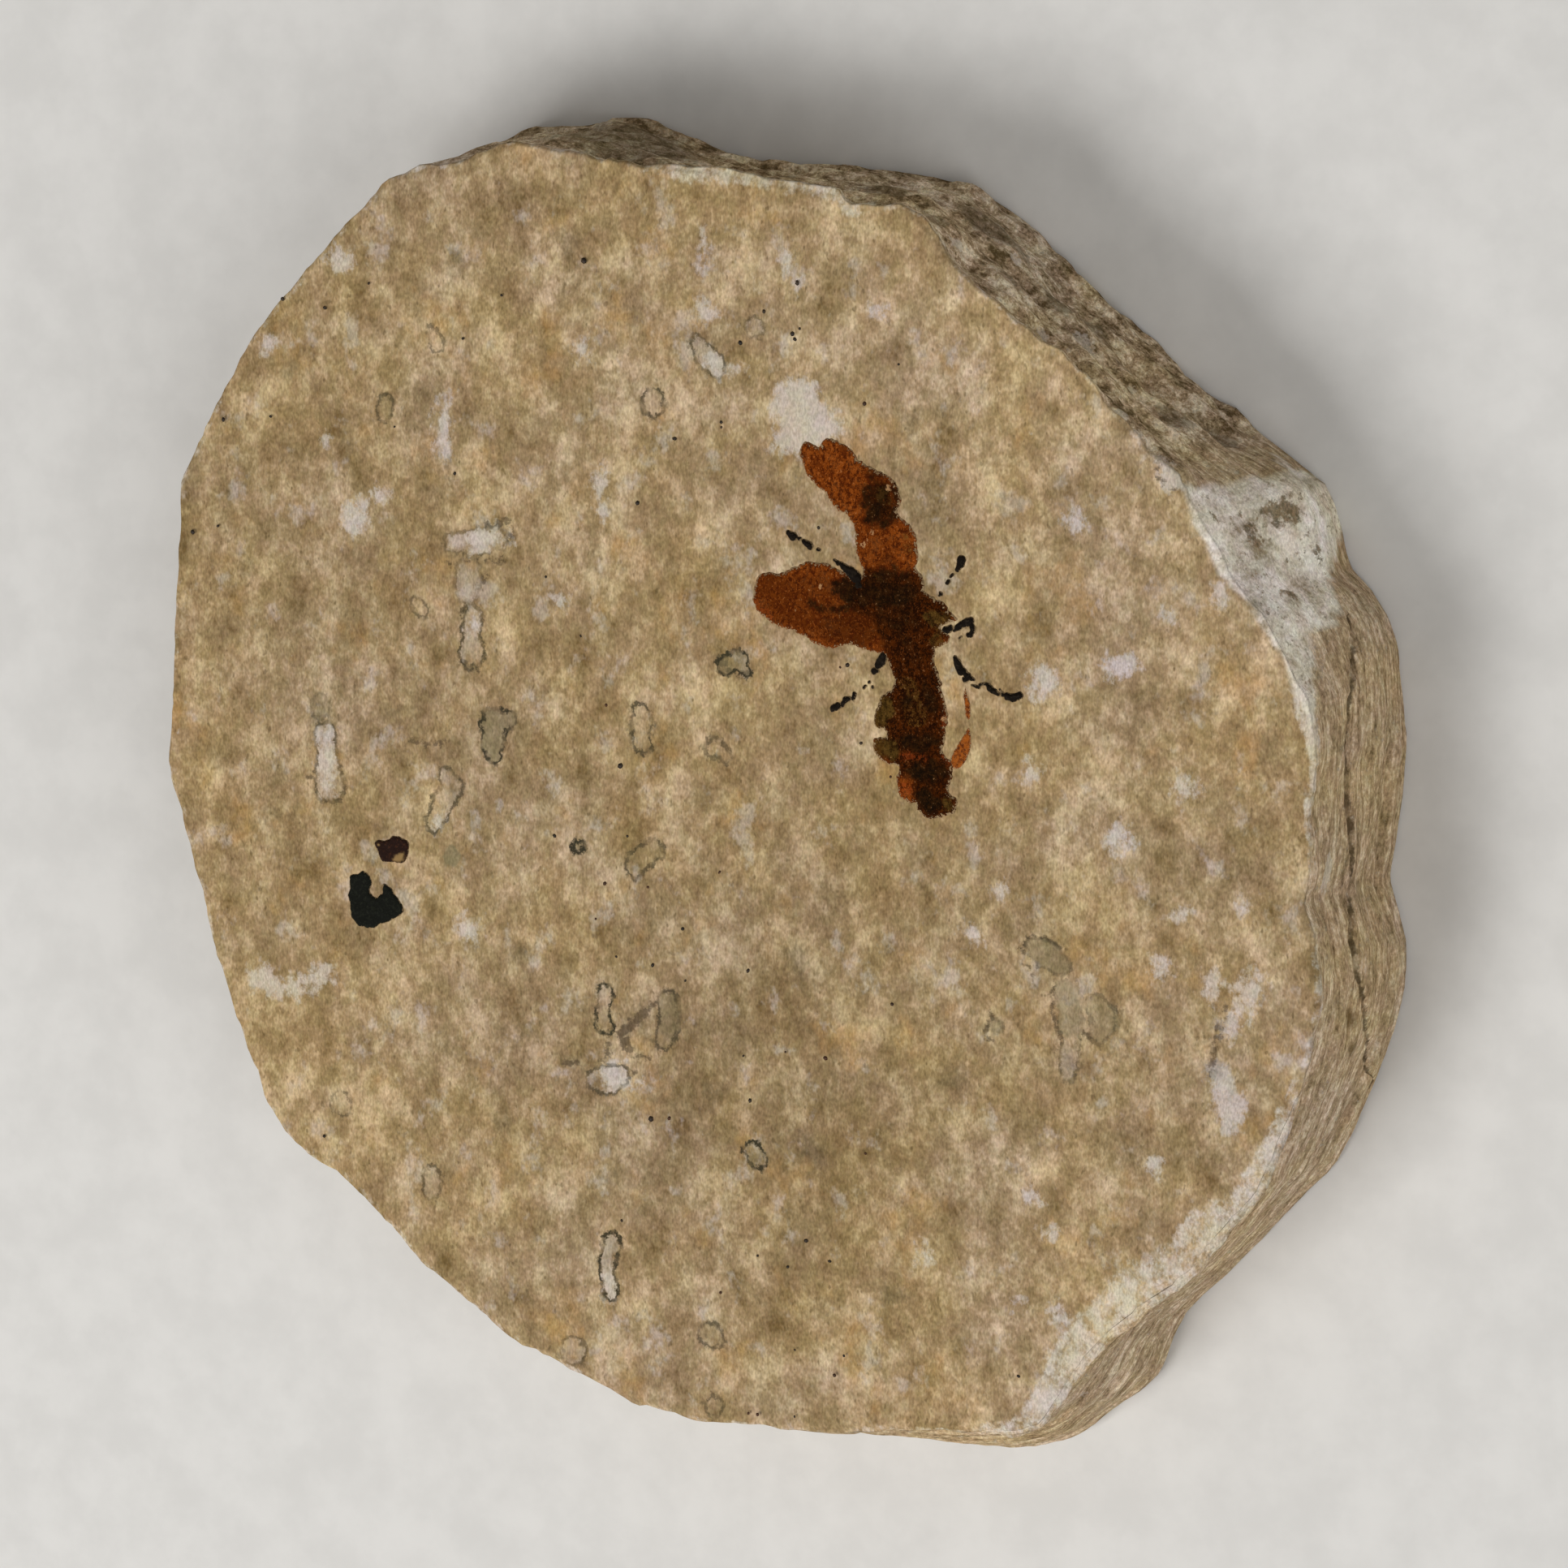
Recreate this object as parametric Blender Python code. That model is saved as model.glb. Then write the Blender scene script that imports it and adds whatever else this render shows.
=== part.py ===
"""Fossil march fly in a palm-sized slab of fine tan shale, lying on its back.

The fossil face looks up (+Z), its top edge points to +Y, and the origin is the middle of
the flat rear.  The slab was split along its bedding and broken by hand round the edge, so
the face and the rear have two different outlines, and thin beds step from one to the
other.  The fly, the loose pieces of its legs and two scraps of plant are thin dark films
on the face.
"""
import math

import bmesh
import bpy
from mathutils import Vector

MM = 0.001

# Slab, in millimetres
SLAB_THICKNESS = 7.0
COLUMNS = 144
REAR_BEVEL = 0.35
BED_EDGE_ROUND = 0.07
BED_SETBACK = 0.34
SHOULDER_HEIGHT = 1.0
CHIP_SHOULDER_HEIGHT = 2.6
RIM_DROP = 0.20
RIM_WIDTH = 0.28
WORN_RIM_DROP = 0.45
WORN_RIM_WIDTH = 0.85
FACE_RELIEF = 0.12
FLAT_RADIUS = 17.5
RELIEF_FADE = 4.0

# Films, in millimetres
FILM_GAP = 0.20
BODY_THICKNESS = 0.30
WING_LIFT = 0.05
WING_THICKNESS = 0.15
LEG_THICKNESS = 0.20

# Thin beds from the rear to the face: lowest and highest height of each
BEDS = [(0.10, 1.00), (1.00, 1.75), (1.95, 2.75), (2.95, 3.75), (3.95, 4.85), (4.85, 5.65), (5.65, 6.40)]

# The open parting on the right side, which steps from one seam to the next: the bed above the
# seam, and the directions in degrees that it runs between
CRACKS = {2: (-22.0, -17.5), 3: (-18.5, -14.0), 4: (-15.0, 14.0)}
CRACK_DEPTH = 0.60
CRACK_BLEND = 2.0

# Where the loft's rings cross the face, as shares of the way from its middle to its rim
FACE_RINGS = [0.94, 0.89, 0.83, 0.76, 0.68]

# Fresh broken facet at the upper right, and the worn edge at the lower right, in degrees
CHIP_FROM, CHIP_TO = 9.0, 35.0
WORN_FROM, WORN_TO = -66.0, -22.0
EDGE_BLEND = 4.0

# Long shallow dent near the right edge of the face
DENT_CENTRE = (20.8, -7.5)
DENT_HALF_SIZE = (1.1, 2.9)
DENT_DEPTH = 0.40

# Pits in the broken sides: angle in degrees, height, radius and depth
SIDE_PITS = [(-16.0, 4.2, 0.9, 0.60), (72.0, 3.2, 1.1, 0.45), (-131.0, 2.4, 1.3, 0.50), (163.0, 4.6, 1.2, 0.45)]

# Outline of the face, clockwise from the upper left, x and y
FACE_RIM = [
    # top edge
    (-15.1, 23.1), (-14.0, 23.6), (-11.7, 24.2), (-8.5, 24.9), (-6.8, 24.7), (-3.6, 24.1),
    (0.3, 23.8), (1.9, 23.5), (5.4, 22.9), (7.3, 22.8),
    # long slope at the upper right, ending in the fresh chip
    (8.1, 22.3), (9.8, 20.5), (11.6, 19.3), (13.0, 17.9), (14.6, 16.6), (16.2, 15.2),
    (17.7, 14.2), (18.8, 12.9), (19.7, 11.3), (20.7, 9.3), (21.9, 8.2), (22.9, 6.3), (23.8, 5.1),
    # right edge with a small notch
    (24.1, 3.3), (24.0, 1.2), (24.0, -1.3), (23.7, -2.1), (24.0, -3.1), (24.4, -5.0),
    (24.3, -6.9), (23.8, -8.6), (23.2, -10.6),
    # lower right corner
    (22.4, -12.8), (20.7, -15.1), (19.1, -17.0), (16.5, -18.9), (15.0, -20.4), (14.0, -22.2),
    # bottom edge
    (12.9, -23.5), (11.1, -23.4), (7.7, -23.6), (4.6, -24.0), (-0.9, -24.3), (-3.8, -23.9),
    (-5.7, -23.2), (-9.2, -22.0),
    # lower left corner
    (-11.7, -20.4), (-13.7, -19.3), (-14.8, -18.1), (-17.2, -16.3), (-19.9, -14.8), (-20.9, -13.3),
    # left edge and upper left corner
    (-22.2, -10.0), (-23.3, -6.8), (-24.2, -3.6), (-25.2, -0.1), (-25.1, 1.9), (-24.8, 6.1),
    (-24.5, 11.3), (-22.9, 14.2), (-20.7, 17.5), (-18.2, 20.1),
]

# Outline of the rear, clockwise from the upper left
REAR_RIM = [
    # top edge, which stands out behind the face at the left
    (-14.6, 23.6), (-12.3, 24.8), (-10.9, 25.1), (-8.8, 25.4), (-7.2, 25.6), (-5.6, 25.1),
    (-3.2, 24.3), (-0.4, 23.7), (2.2, 23.8), (4.7, 23.5), (7.1, 23.3), (8.2, 22.7),
    # long slope at the upper right
    (9.9, 21.7), (11.1, 20.2), (12.8, 18.8), (14.4, 17.8), (16.2, 16.1), (17.8, 15.2),
    (18.8, 14.3), (20.1, 13.5), (21.9, 12.3), (22.2, 11.2), (22.7, 9.4), (23.9, 8.2), (24.5, 6.9),
    # right edge
    (24.8, 4.8), (25.0, 3.5), (24.9, 1.1), (24.4, -2.2), (25.0, -3.8), (25.2, -5.1),
    (24.9, -7.1), (24.2, -9.3), (23.7, -10.4),
    # lower right corner, ending in a small spur
    (22.6, -12.8), (21.4, -14.1), (20.1, -15.6), (18.0, -17.8), (16.4, -19.4), (15.5, -21.1),
    (15.2, -22.3), (13.2, -23.6),
    # bottom edge
    (12.2, -24.6), (10.7, -25.2), (8.7, -25.6), (6.2, -25.4), (4.7, -25.0), (0.0, -24.6),
    (-4.2, -24.0), (-8.8, -22.2),
    # lower left corner
    (-11.9, -20.0), (-15.2, -17.4), (-19.4, -14.9), (-20.8, -12.9),
    # left edge and upper left corner, cut in under the face
    (-22.0, -9.2), (-23.4, -4.4), (-24.5, 0.4), (-24.3, 6.0), (-23.8, 11.0), (-22.2, 14.4),
    (-20.0, 17.6), (-17.4, 20.6),
]

# Outlines of the fly's films, clockwise
BODY_OUTLINE = [
    (6.1, 8.7), (7.1, 9.2), (8.4, 8.9), (8.6, 8.2), (9.1, 8.1), (9.7, 7.4), (9.3, 7.2), (9.2, 6.7),
    (8.8, 6.4), (8.8, 5.8), (9.1, 5.1), (9.4, 3.7), (9.2, 2.4), (9.6, 2.0), (9.6, 1.4), (9.4, 1.0),
    (9.8, 0.7), (9.7, 0.2), (9.3, 0.0), (8.6, 0.0), (8.1, 0.3), (7.9, 0.6), (7.5, 0.7), (7.3, 1.2),
    (7.2, 1.8), (6.5, 2.2), (6.3, 2.7), (6.4, 3.7), (6.7, 4.3), (7.1, 4.7), (7.0, 5.3), (6.7, 5.9),
    (6.1, 6.6), (5.8, 7.7),
]
UPPER_WING_OUTLINE = [
    (3.3, 13.5), (3.7, 13.8), (4.5, 13.9), (5.0, 13.8), (5.4, 13.5), (5.8, 13.1), (6.4, 12.8),
    (6.9, 12.6), (7.3, 12.1), (7.3, 11.2), (8.0, 10.6), (8.2, 9.9), (8.2, 8.6), (7.2, 7.9),
    (6.3, 8.4), (5.7, 9.1), (5.6, 9.6), (5.4, 10.8), (4.9, 11.3), (4.4, 11.8), (3.7, 12.3),
    (3.3, 13.0),
]
LEFT_WING_OUTLINE = [
    (1.5, 7.2), (1.2, 7.6), (1.3, 8.3), (1.6, 8.7), (2.5, 8.8), (3.0, 9.1), (3.7, 9.3), (4.5, 9.2),
    (5.4, 8.8), (6.2, 8.6), (6.9, 7.9), (6.9, 6.7), (6.4, 6.0), (5.7, 6.2), (5.0, 6.2), (4.3, 6.1),
    (3.6, 6.4), (3.0, 6.7), (2.3, 6.8),
]
WING_SLIVER_OUTLINE = [
    (10.1, 4.9), (10.2, 4.5), (10.4, 3.5), (10.4, 2.7), (10.1, 2.0), (9.9, 1.8), (9.9, 2.4),
    (10.0, 2.9), (10.1, 3.4), (10.0, 4.0),
]
MID_LEG_OUTLINE = [
    (9.5, 7.1), (9.7, 7.2), (9.9, 7.4), (10.3, 7.5), (10.5, 7.2), (10.4, 6.9), (10.1, 6.8),
    (10.0, 7.0), (10.2, 7.1), (10.0, 7.2), (9.7, 7.0),
]

# Legs as chains of joints: x, y and half the width
FORE_LEFT_LEG = [
    (2.70, 10.32, 0.08), (2.90, 10.25, 0.18), (3.20, 10.16, 0.09), (3.55, 9.98, 0.16), (3.80, 9.88, 0.12),
    (4.10, 9.72, 0.08), (4.60, 9.42, 0.08), (4.95, 9.33, 0.12), (5.20, 9.28, 0.14),
]
FORE_RIGHT_LEG = [
    (9.98, 9.80, 0.08), (9.92, 9.60, 0.20), (9.74, 9.30, 0.14), (9.50, 9.05, 0.08), (9.36, 8.80, 0.10),
    (9.20, 8.56, 0.07), (9.09, 8.40, 0.10), (9.02, 8.30, 0.05),
]
HIND_RIGHT_LEG = [
    (9.66, 6.06, 0.06), (9.70, 5.90, 0.14), (9.90, 5.58, 0.20), (10.08, 5.33, 0.19), (10.30, 5.14, 0.10),
    (10.60, 5.00, 0.07), (10.95, 4.95, 0.14), (11.30, 4.84, 0.14), (11.65, 4.76, 0.13), (12.00, 4.70, 0.19),
    (12.30, 4.70, 0.17), (12.45, 4.70, 0.07),
]
HIND_LEFT_LEG = [
    (6.48, 5.56, 0.10), (6.35, 5.26, 0.16), (6.16, 4.95, 0.08), (5.88, 4.66, 0.08), (5.45, 4.36, 0.13),
    (5.12, 4.18, 0.15), (4.84, 3.98, 0.13), (4.60, 3.86, 0.16), (4.46, 3.80, 0.08),
]

# Outlines of the plant scraps, clockwise
PLANT_SCRAP_OUTLINE = [
    (-16.6, -4.0), (-16.0, -3.8), (-15.8, -3.8), (-15.6, -4.1), (-15.6, -4.6), (-15.4, -4.8),
    (-15.1, -4.6), (-15.0, -4.2), (-14.8, -4.3), (-14.4, -4.6), (-14.1, -5.1), (-14.3, -5.4),
    (-15.0, -5.7), (-15.5, -6.0), (-16.0, -6.0), (-16.6, -5.5), (-16.7, -4.7),
]
BROWN_SCRAP_OUTLINE = [
    (-15.5, -2.6), (-15.3, -2.5), (-14.8, -2.4), (-14.6, -2.3), (-14.1, -2.3), (-13.9, -2.6),
    (-14.0, -3.2), (-14.3, -3.4), (-14.9, -3.4), (-15.4, -2.9),
]


def smooth_step(low, high, value):
    """0 below low, 1 above high, and a soft rise between them."""
    share = min(max((value - low) / (high - low), 0.0), 1.0)
    return share * share * (3.0 - 2.0 * share)


def between(angle_deg, start, end, blend=EDGE_BLEND):
    """1 inside a range of directions, fading to 0 outside it."""
    turn = (angle_deg + 180.0) % 360.0 - 180.0
    rise = smooth_step(start - blend, start + blend, turn)
    fall = smooth_step(end - blend, end + blend, turn)
    return rise * (1.0 - fall)


def rim_radius(rim, angle):
    """Distance from the slab's middle to a rim, in the direction of angle."""
    direction = Vector((math.cos(angle), math.sin(angle)))
    corners = [Vector(corner) for corner in rim]
    for start, end in zip(corners, corners[1:] + corners[:1]):
        if direction.cross(end) <= 0.0 < direction.cross(start) and direction.dot(start + end) > 0.0:
            return start.cross(end) / direction.cross(end - start)
    raise ValueError("the rim does not close round the middle")


def bed_setback(bed, angle):
    """How far the broken edge of a bed stands back, never past the rear's outline."""
    if bed == 0:
        return 0.0
    wave = math.sin(angle * (3 + bed) + 1.9 * bed) + 0.6 * math.sin(angle * (11 + 2 * bed) + 0.7 * bed * bed)
    return BED_SETBACK * (0.5 + 0.31 * wave)


def pit_depth(angle_deg, radius, height):
    """Depth of the side pits at a place on the broken side."""
    depth = 0.0
    for pit_angle, pit_height, pit_radius, pit_max in SIDE_PITS:
        turn = math.radians((angle_deg - pit_angle + 180.0) % 360.0 - 180.0)
        away = math.hypot(turn * radius, height - pit_height) / pit_radius
        depth += pit_max * (1.0 - smooth_step(0.0, 1.0, away))
    return depth


def face_height(x, y):
    """Height of the fossil face: flat in the middle, gently uneven towards the rim."""
    away = smooth_step(FLAT_RADIUS, FLAT_RADIUS + RELIEF_FADE, math.hypot(x, y))
    wave = 0.5 + 0.5 * math.sin(0.33 * x + 0.4) * math.cos(0.27 * y - 0.8)
    dent_x = (x - DENT_CENTRE[0]) / DENT_HALF_SIZE[0]
    dent_y = (y - DENT_CENTRE[1]) / DENT_HALF_SIZE[1]
    dent = 1.0 - smooth_step(0.0, 1.0, math.hypot(dent_x, dent_y))
    return SLAB_THICKNESS - FACE_RELIEF * wave * away - DENT_DEPTH * dent


def side_profile(angle):
    """Radius and height of the broken side, from the rear up to the face's rim."""
    angle_deg = math.degrees(angle)
    rear = rim_radius(REAR_RIM, angle)
    face = rim_radius(FACE_RIM, angle)
    chip = between(angle_deg, CHIP_FROM, CHIP_TO)
    shoulder = SHOULDER_HEIGHT + (CHIP_SHOULDER_HEIGHT - SHOULDER_HEIGHT) * chip
    profile = [(rear - REAR_BEVEL, 0.0)]
    for bed, (low, high) in enumerate(BEDS):
        if bed in CRACKS:
            depth = CRACK_DEPTH * (1.0 - chip) * between(angle_deg, *CRACKS[bed], CRACK_BLEND)
            profile.append((profile[-1][0] - depth, 0.5 * (BEDS[bed - 1][1] + low)))
        for height in (low + BED_EDGE_ROUND, high - BED_EDGE_ROUND):
            level = height if bed == 0 else height * chip + 0.5 * (low + high) * (1.0 - chip)
            spread = min((SLAB_THICKNESS - level) / (SLAB_THICKNESS - shoulder), 1.0)
            radius = face + (rear - face) * spread
            radius -= bed_setback(bed, angle) * (1.0 - chip) + pit_depth(angle_deg, radius, height)
            profile.append((radius, height))
    worn = between(angle_deg, WORN_FROM, WORN_TO)
    drop = RIM_DROP + (WORN_RIM_DROP - RIM_DROP) * worn
    profile.append((face, SLAB_THICKNESS - drop))
    return profile, face, worn


def slab_column(angle):
    """All points of the slab above one direction, from the rear to the flat middle of the face."""
    profile, face, worn = side_profile(angle)
    across = Vector((math.cos(angle), math.sin(angle)))
    points = [(across.x * radius, across.y * radius, height) for radius, height in profile]
    inner = face - (RIM_WIDTH + (WORN_RIM_WIDTH - RIM_WIDTH) * worn)
    for radius in [inner] + [face * share for share in FACE_RINGS]:
        x, y = across * radius
        points.append((x, y, face_height(x, y)))
    points[-1] = (points[-1][0], points[-1][1], SLAB_THICKNESS)
    return points


def build_slab():
    """Loft the slab between its two unlike outlines, bed by bed."""
    mesh = bpy.data.meshes.new("matrix_slab")
    shape = bmesh.new()
    columns = []
    for column in range(COLUMNS):
        points = slab_column(2.0 * math.pi * column / COLUMNS)
        columns.append([shape.verts.new(Vector(point) * MM) for point in points])
    for left, right in zip(columns, columns[1:] + columns[:1]):
        for step in range(len(left) - 1):
            shape.faces.new((left[step], right[step], right[step + 1], left[step + 1]))
    shape.faces.new([column[0] for column in reversed(columns)])
    shape.faces.new([column[-1] for column in columns])
    bmesh.ops.recalc_face_normals(shape, faces=shape.faces)
    shape.to_mesh(mesh)
    shape.free()
    return bpy.data.objects.new("matrix_slab", mesh)


def film_curve(name, outline, lift, thickness):
    """A flat film of an outline, lift above the face."""
    curve = bpy.data.curves.new(name, "CURVE")
    curve.dimensions = "2D"
    curve.fill_mode = "BOTH"
    curve.extrude = 0.5 * thickness * MM
    spline = curve.splines.new("POLY")
    spline.points.add(len(outline) - 1)
    for point, (x, y) in zip(spline.points, outline):
        point.co = (x * MM, y * MM, 0.0, 1.0)
    spline.use_cyclic_u = True
    film = bpy.data.objects.new(name, curve)
    film.location.z = (SLAB_THICKNESS + lift + 0.5 * thickness) * MM
    return film


def leg_outline(chain):
    """Outline of a leg that swells at its joints: down one side and back up the other."""
    places = [Vector(joint[:2]) for joint in chain]
    left, right = [], []
    for index, place in enumerate(places):
        before = places[max(index - 1, 0)]
        after = places[min(index + 1, len(places) - 1)]
        along = (after - before).normalized()
        across = Vector((-along.y, along.x)) * chain[index][2]
        left.append(tuple(place + across))
        right.append(tuple(place - across))
    return left + right[::-1]


def film_to_mesh(film):
    """Turn a film into a mesh with its two flat sides welded to its edge."""
    bpy.context.view_layer.update()
    evaluated = film.evaluated_get(bpy.context.evaluated_depsgraph_get())
    mesh = bpy.data.meshes.new_from_object(evaluated)
    shape = bmesh.new()
    shape.from_mesh(mesh)
    bmesh.ops.remove_doubles(shape, verts=shape.verts, dist=0.001 * MM)
    bmesh.ops.recalc_face_normals(shape, faces=shape.faces)
    shape.to_mesh(mesh)
    shape.free()
    name = film.name
    solid = bpy.data.objects.new(name, mesh)
    solid.matrix_world = film.matrix_world.copy()
    bpy.data.objects.remove(film)
    solid.name = name
    return solid


def build_fly(parts, cutters):
    """The body's thicker film, joined with the two wings that grow from it."""
    body = film_curve("fly_body_and_wings", BODY_OUTLINE, FILM_GAP, BODY_THICKNESS)
    parts.objects.link(body)
    body = film_to_mesh(body)
    parts.objects.link(body)
    for name, outline in (("upper_wing", UPPER_WING_OUTLINE), ("left_wing", LEFT_WING_OUTLINE)):
        wing = film_curve(name, outline, FILM_GAP + WING_LIFT, WING_THICKNESS)
        cutters.objects.link(wing)
        wing = film_to_mesh(wing)
        cutters.objects.link(wing)
        wing.hide_render = True
        wing.display_type = "WIRE"
        union = body.modifiers.new(name, "BOOLEAN")
        union.operation = "UNION"
        union.object = wing
    return body


def principled(name, colour, roughness):
    """A plain material of one colour and roughness."""
    material = bpy.data.materials.new(name)
    material.use_nodes = True
    shader = material.node_tree.nodes["Principled BSDF"]
    shader.inputs["Base Color"].default_value = (*colour, 1.0)
    shader.inputs["Roughness"].default_value = roughness
    shader.inputs["Metallic"].default_value = 0.0
    return material


def new_collection(name):
    """A collection in the scene."""
    collection = bpy.data.collections.new(name)
    bpy.context.scene.collection.children.link(collection)
    return collection


def main():
    """Build the slab, the fly, its loose leg pieces and the two scraps."""
    for old in list(bpy.data.objects):
        bpy.data.objects.remove(old)
    parts = new_collection("fossil_march_fly")
    cutters = new_collection("cutters")

    slab = build_slab()
    parts.objects.link(slab)
    slab.data.materials.append(principled("matrix_slab", (0.36, 0.25, 0.135), 0.85))

    fly = build_fly(parts, cutters)
    fly.data.materials.append(principled("fly_body_and_wings", (0.075, 0.022, 0.006), 0.55))

    leg_colour = (0.010, 0.008, 0.006)
    films = [
        ("leg_fore_left", leg_outline(FORE_LEFT_LEG), leg_colour, 0.5),
        ("leg_fore_right", leg_outline(FORE_RIGHT_LEG), leg_colour, 0.5),
        ("leg_mid_right", MID_LEG_OUTLINE, leg_colour, 0.5),
        ("leg_hind_right", leg_outline(HIND_RIGHT_LEG), leg_colour, 0.5),
        ("leg_hind_left", leg_outline(HIND_LEFT_LEG), leg_colour, 0.5),
        ("wing_sliver", WING_SLIVER_OUTLINE, (0.16, 0.050, 0.010), 0.6),
        ("plant_scrap", PLANT_SCRAP_OUTLINE, (0.008, 0.010, 0.006), 0.5),
        ("brown_scrap", BROWN_SCRAP_OUTLINE, (0.030, 0.012, 0.006), 0.5),
    ]
    for name, outline, colour, roughness in films:
        film = film_curve(name, outline, FILM_GAP, LEG_THICKNESS)
        film.data.materials.append(principled(name, colour, roughness))
        parts.objects.link(film)


main()
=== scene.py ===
"""Looks of a fossil march fly that lies on a hand-broken slab of tan shale.

Outlines, marks and colour zones are in millimetres in the part's own frame: x to the right and
y to the top edge of the fossil face, from the middle of the slab's rear.  They were chosen one by one.
"""
import math

import bpy
import numpy as np
from bpy.props import FloatProperty, FloatVectorProperty, IntProperty, PointerProperty
from bpy.types import Operator, Panel, PropertyGroup
from mathutils import Matrix, Vector, bvhtree, geometry


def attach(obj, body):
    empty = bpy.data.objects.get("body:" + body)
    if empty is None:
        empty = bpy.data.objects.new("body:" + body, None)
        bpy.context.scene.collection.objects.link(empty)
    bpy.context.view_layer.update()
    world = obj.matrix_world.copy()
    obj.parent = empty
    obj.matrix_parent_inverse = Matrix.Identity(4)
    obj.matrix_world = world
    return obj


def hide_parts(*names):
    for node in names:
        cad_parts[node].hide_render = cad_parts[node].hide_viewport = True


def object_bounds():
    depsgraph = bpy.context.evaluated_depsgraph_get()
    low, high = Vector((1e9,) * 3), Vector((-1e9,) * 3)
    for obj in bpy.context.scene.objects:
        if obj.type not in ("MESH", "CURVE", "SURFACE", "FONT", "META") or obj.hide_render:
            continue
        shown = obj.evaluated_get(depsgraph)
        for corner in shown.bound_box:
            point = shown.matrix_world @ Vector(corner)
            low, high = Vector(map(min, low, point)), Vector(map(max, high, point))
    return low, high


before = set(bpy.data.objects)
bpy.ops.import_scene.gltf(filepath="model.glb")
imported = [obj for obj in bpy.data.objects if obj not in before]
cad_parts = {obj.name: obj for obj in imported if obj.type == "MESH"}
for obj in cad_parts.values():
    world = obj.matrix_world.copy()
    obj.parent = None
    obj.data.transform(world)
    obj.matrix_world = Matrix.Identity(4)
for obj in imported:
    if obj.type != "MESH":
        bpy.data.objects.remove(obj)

bl_info = {
    "name": "Fossil March Fly Slab",
    "version": (1, 0, 0),
    "blender": (4, 5, 0),
    "location": "View3D > Sidebar > Fossil",
    "description": "Builds the shale slab, the fly's dark films and the stage round the packed solids",
    "category": "Add Mesh",
}

CAD_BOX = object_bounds()
MM = 0.001
BODY = "root"

# Directions round the slab, in degrees from +X
CHIP_FROM, CHIP_TO = 9.0, 33.5
RUGGED_SIDE = (36.0, 118.0)
WORN_FROM, WORN_TO = -66.0, -22.0

# Heights, depths and the picture's middle, in mm
SLAB_TOP = 7.0
RIM_HEIGHT = 6.72
REAR_MIDDLE = 0.05
FACE_REACH = 24.0
CRACK_DEPTH = 0.16
PIT_DEPTH = 0.25
FAR_FROM_CRACK = 99.0
FLOOR_HEIGHT = -0.02
PICTURE_CENTRE = (2.55, 0.85, 7.0)

# Thickness of the smaller films, and how far every film reaches into the stone, in mm
LEG_FILM = 0.085
SLIVER_FILM = 0.035
SCRAP_FILM = 0.06
FILM_ROOT = 0.03

# Lamps: place and width in metres, and the pale sky
KEY_PLACE, KEY_WIDTH = (-0.30, -0.30, 0.48), 0.30
FILL_PLACE, FILL_WIDTH = (0.42, -0.16, 0.36), 0.40
SKY_COLOUR, SKY_STRENGTH = (1.0, 0.99, 0.97, 1.0), 0.27

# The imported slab's straight seams, which the crack takes the place of: low and high edge
PACKED_SEAMS = [(1.6, 2.1), (2.6, 3.1), (3.6, 4.1)]

# Mesh rings of the rear as shares of its radius, and the first rings of the face as mm inside the rim
REAR_RINGS = (0.04, 0.12, 0.22, 0.32, 0.42, 0.52, 0.62, 0.72, 0.81, 0.89, 0.95, 0.985)
RIM_RINGS = (0.03, 0.08, 0.14, 0.21, 0.29, 0.38, 0.49, 0.62, 0.78, 0.96, 1.15)

# The open parting on the right side: direction in degrees and height in mm
CRACK_PATH = [
    (-22.3, 0.44), (-21.5, 1.07), (-19.1, 1.75), (-16.9, 2.46), (-14.4, 3.34), (-11.7, 3.9), (-9.1, 3.95),
    (-6.3, 3.65), (-3.8, 3.6), (-0.5, 3.83), (2.7, 4.02), (5.5, 4.11), (8.1, 4.32), (11.1, 4.2),
    (14.9, 3.72), (17.5, 3.2),
]

# Lower edge of the fresh facet on the broken side: direction in degrees and height in mm
CHIP_LOWER_EDGE = [
    (5.0, 7.3), (5.8, 6.9), (9.5, 6.75), (12.5, 6.45), (14.0, 6.3), (15.3, 5.7), (18.0, 5.4), (18.5, 3.5),
    (20.3, 3.2), (21.8, 2.9), (24.6, 0.9), (26.0, 0.0), (27.5, -0.8), (31.0, -0.6), (31.6, 0.6),
    (31.8, 3.3), (32.6, 3.6), (33.0, 5.0), (33.6, 6.2), (34.3, 7.3),
]

# Patches on the broken side: direction in degrees, height, radius across and radius up in mm
CHIP_SPUR = [(33.5, 1.2, 0.2, 0.3), (32.6, 1.6, 0.3, 0.35)]
CHIP_STAINS = [
    (30.2, 5.42, 0.22, 0.2), (27.5, 5.2, 0.55, 0.3), (28.4, 3.7, 0.45, 0.62), (29.1, 4.25, 0.25, 0.3),
    (30.4, 6.3, 0.2, 0.15), (24.3, 2.9, 0.22, 0.3), (21.6, 4.9, 0.2, 0.2),
]
SIDE_STAINS = [(-15.8, 3.86, 0.3, 0.42), (-18.2, 3.3, 0.26, 0.3)]
DARK_SIDE = [
    (68.7, 2.98, 0.9, 0.55), (65.3, 2.5, 1.0, 0.55), (57.5, 3.4, 0.7, 0.55), (53.8, 2.45, 0.6, 0.45),
    (69.6, 5.85, 0.9, 0.45), (76.7, 4.5, 1.0, 0.45), (61.4, 4.76, 0.6, 0.45), (41.3, 3.78, 0.7, 0.45),
    # the last, wide patch is painted shade over the far end of the rugged upper side
    (48.2, 3.07, 0.6, 0.4), (88.0, 4.8, 1.2, 0.4), (38.0, 2.2, 0.8, 0.4), (104.0, 3.6, 3.0, 2.8),
]
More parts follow.
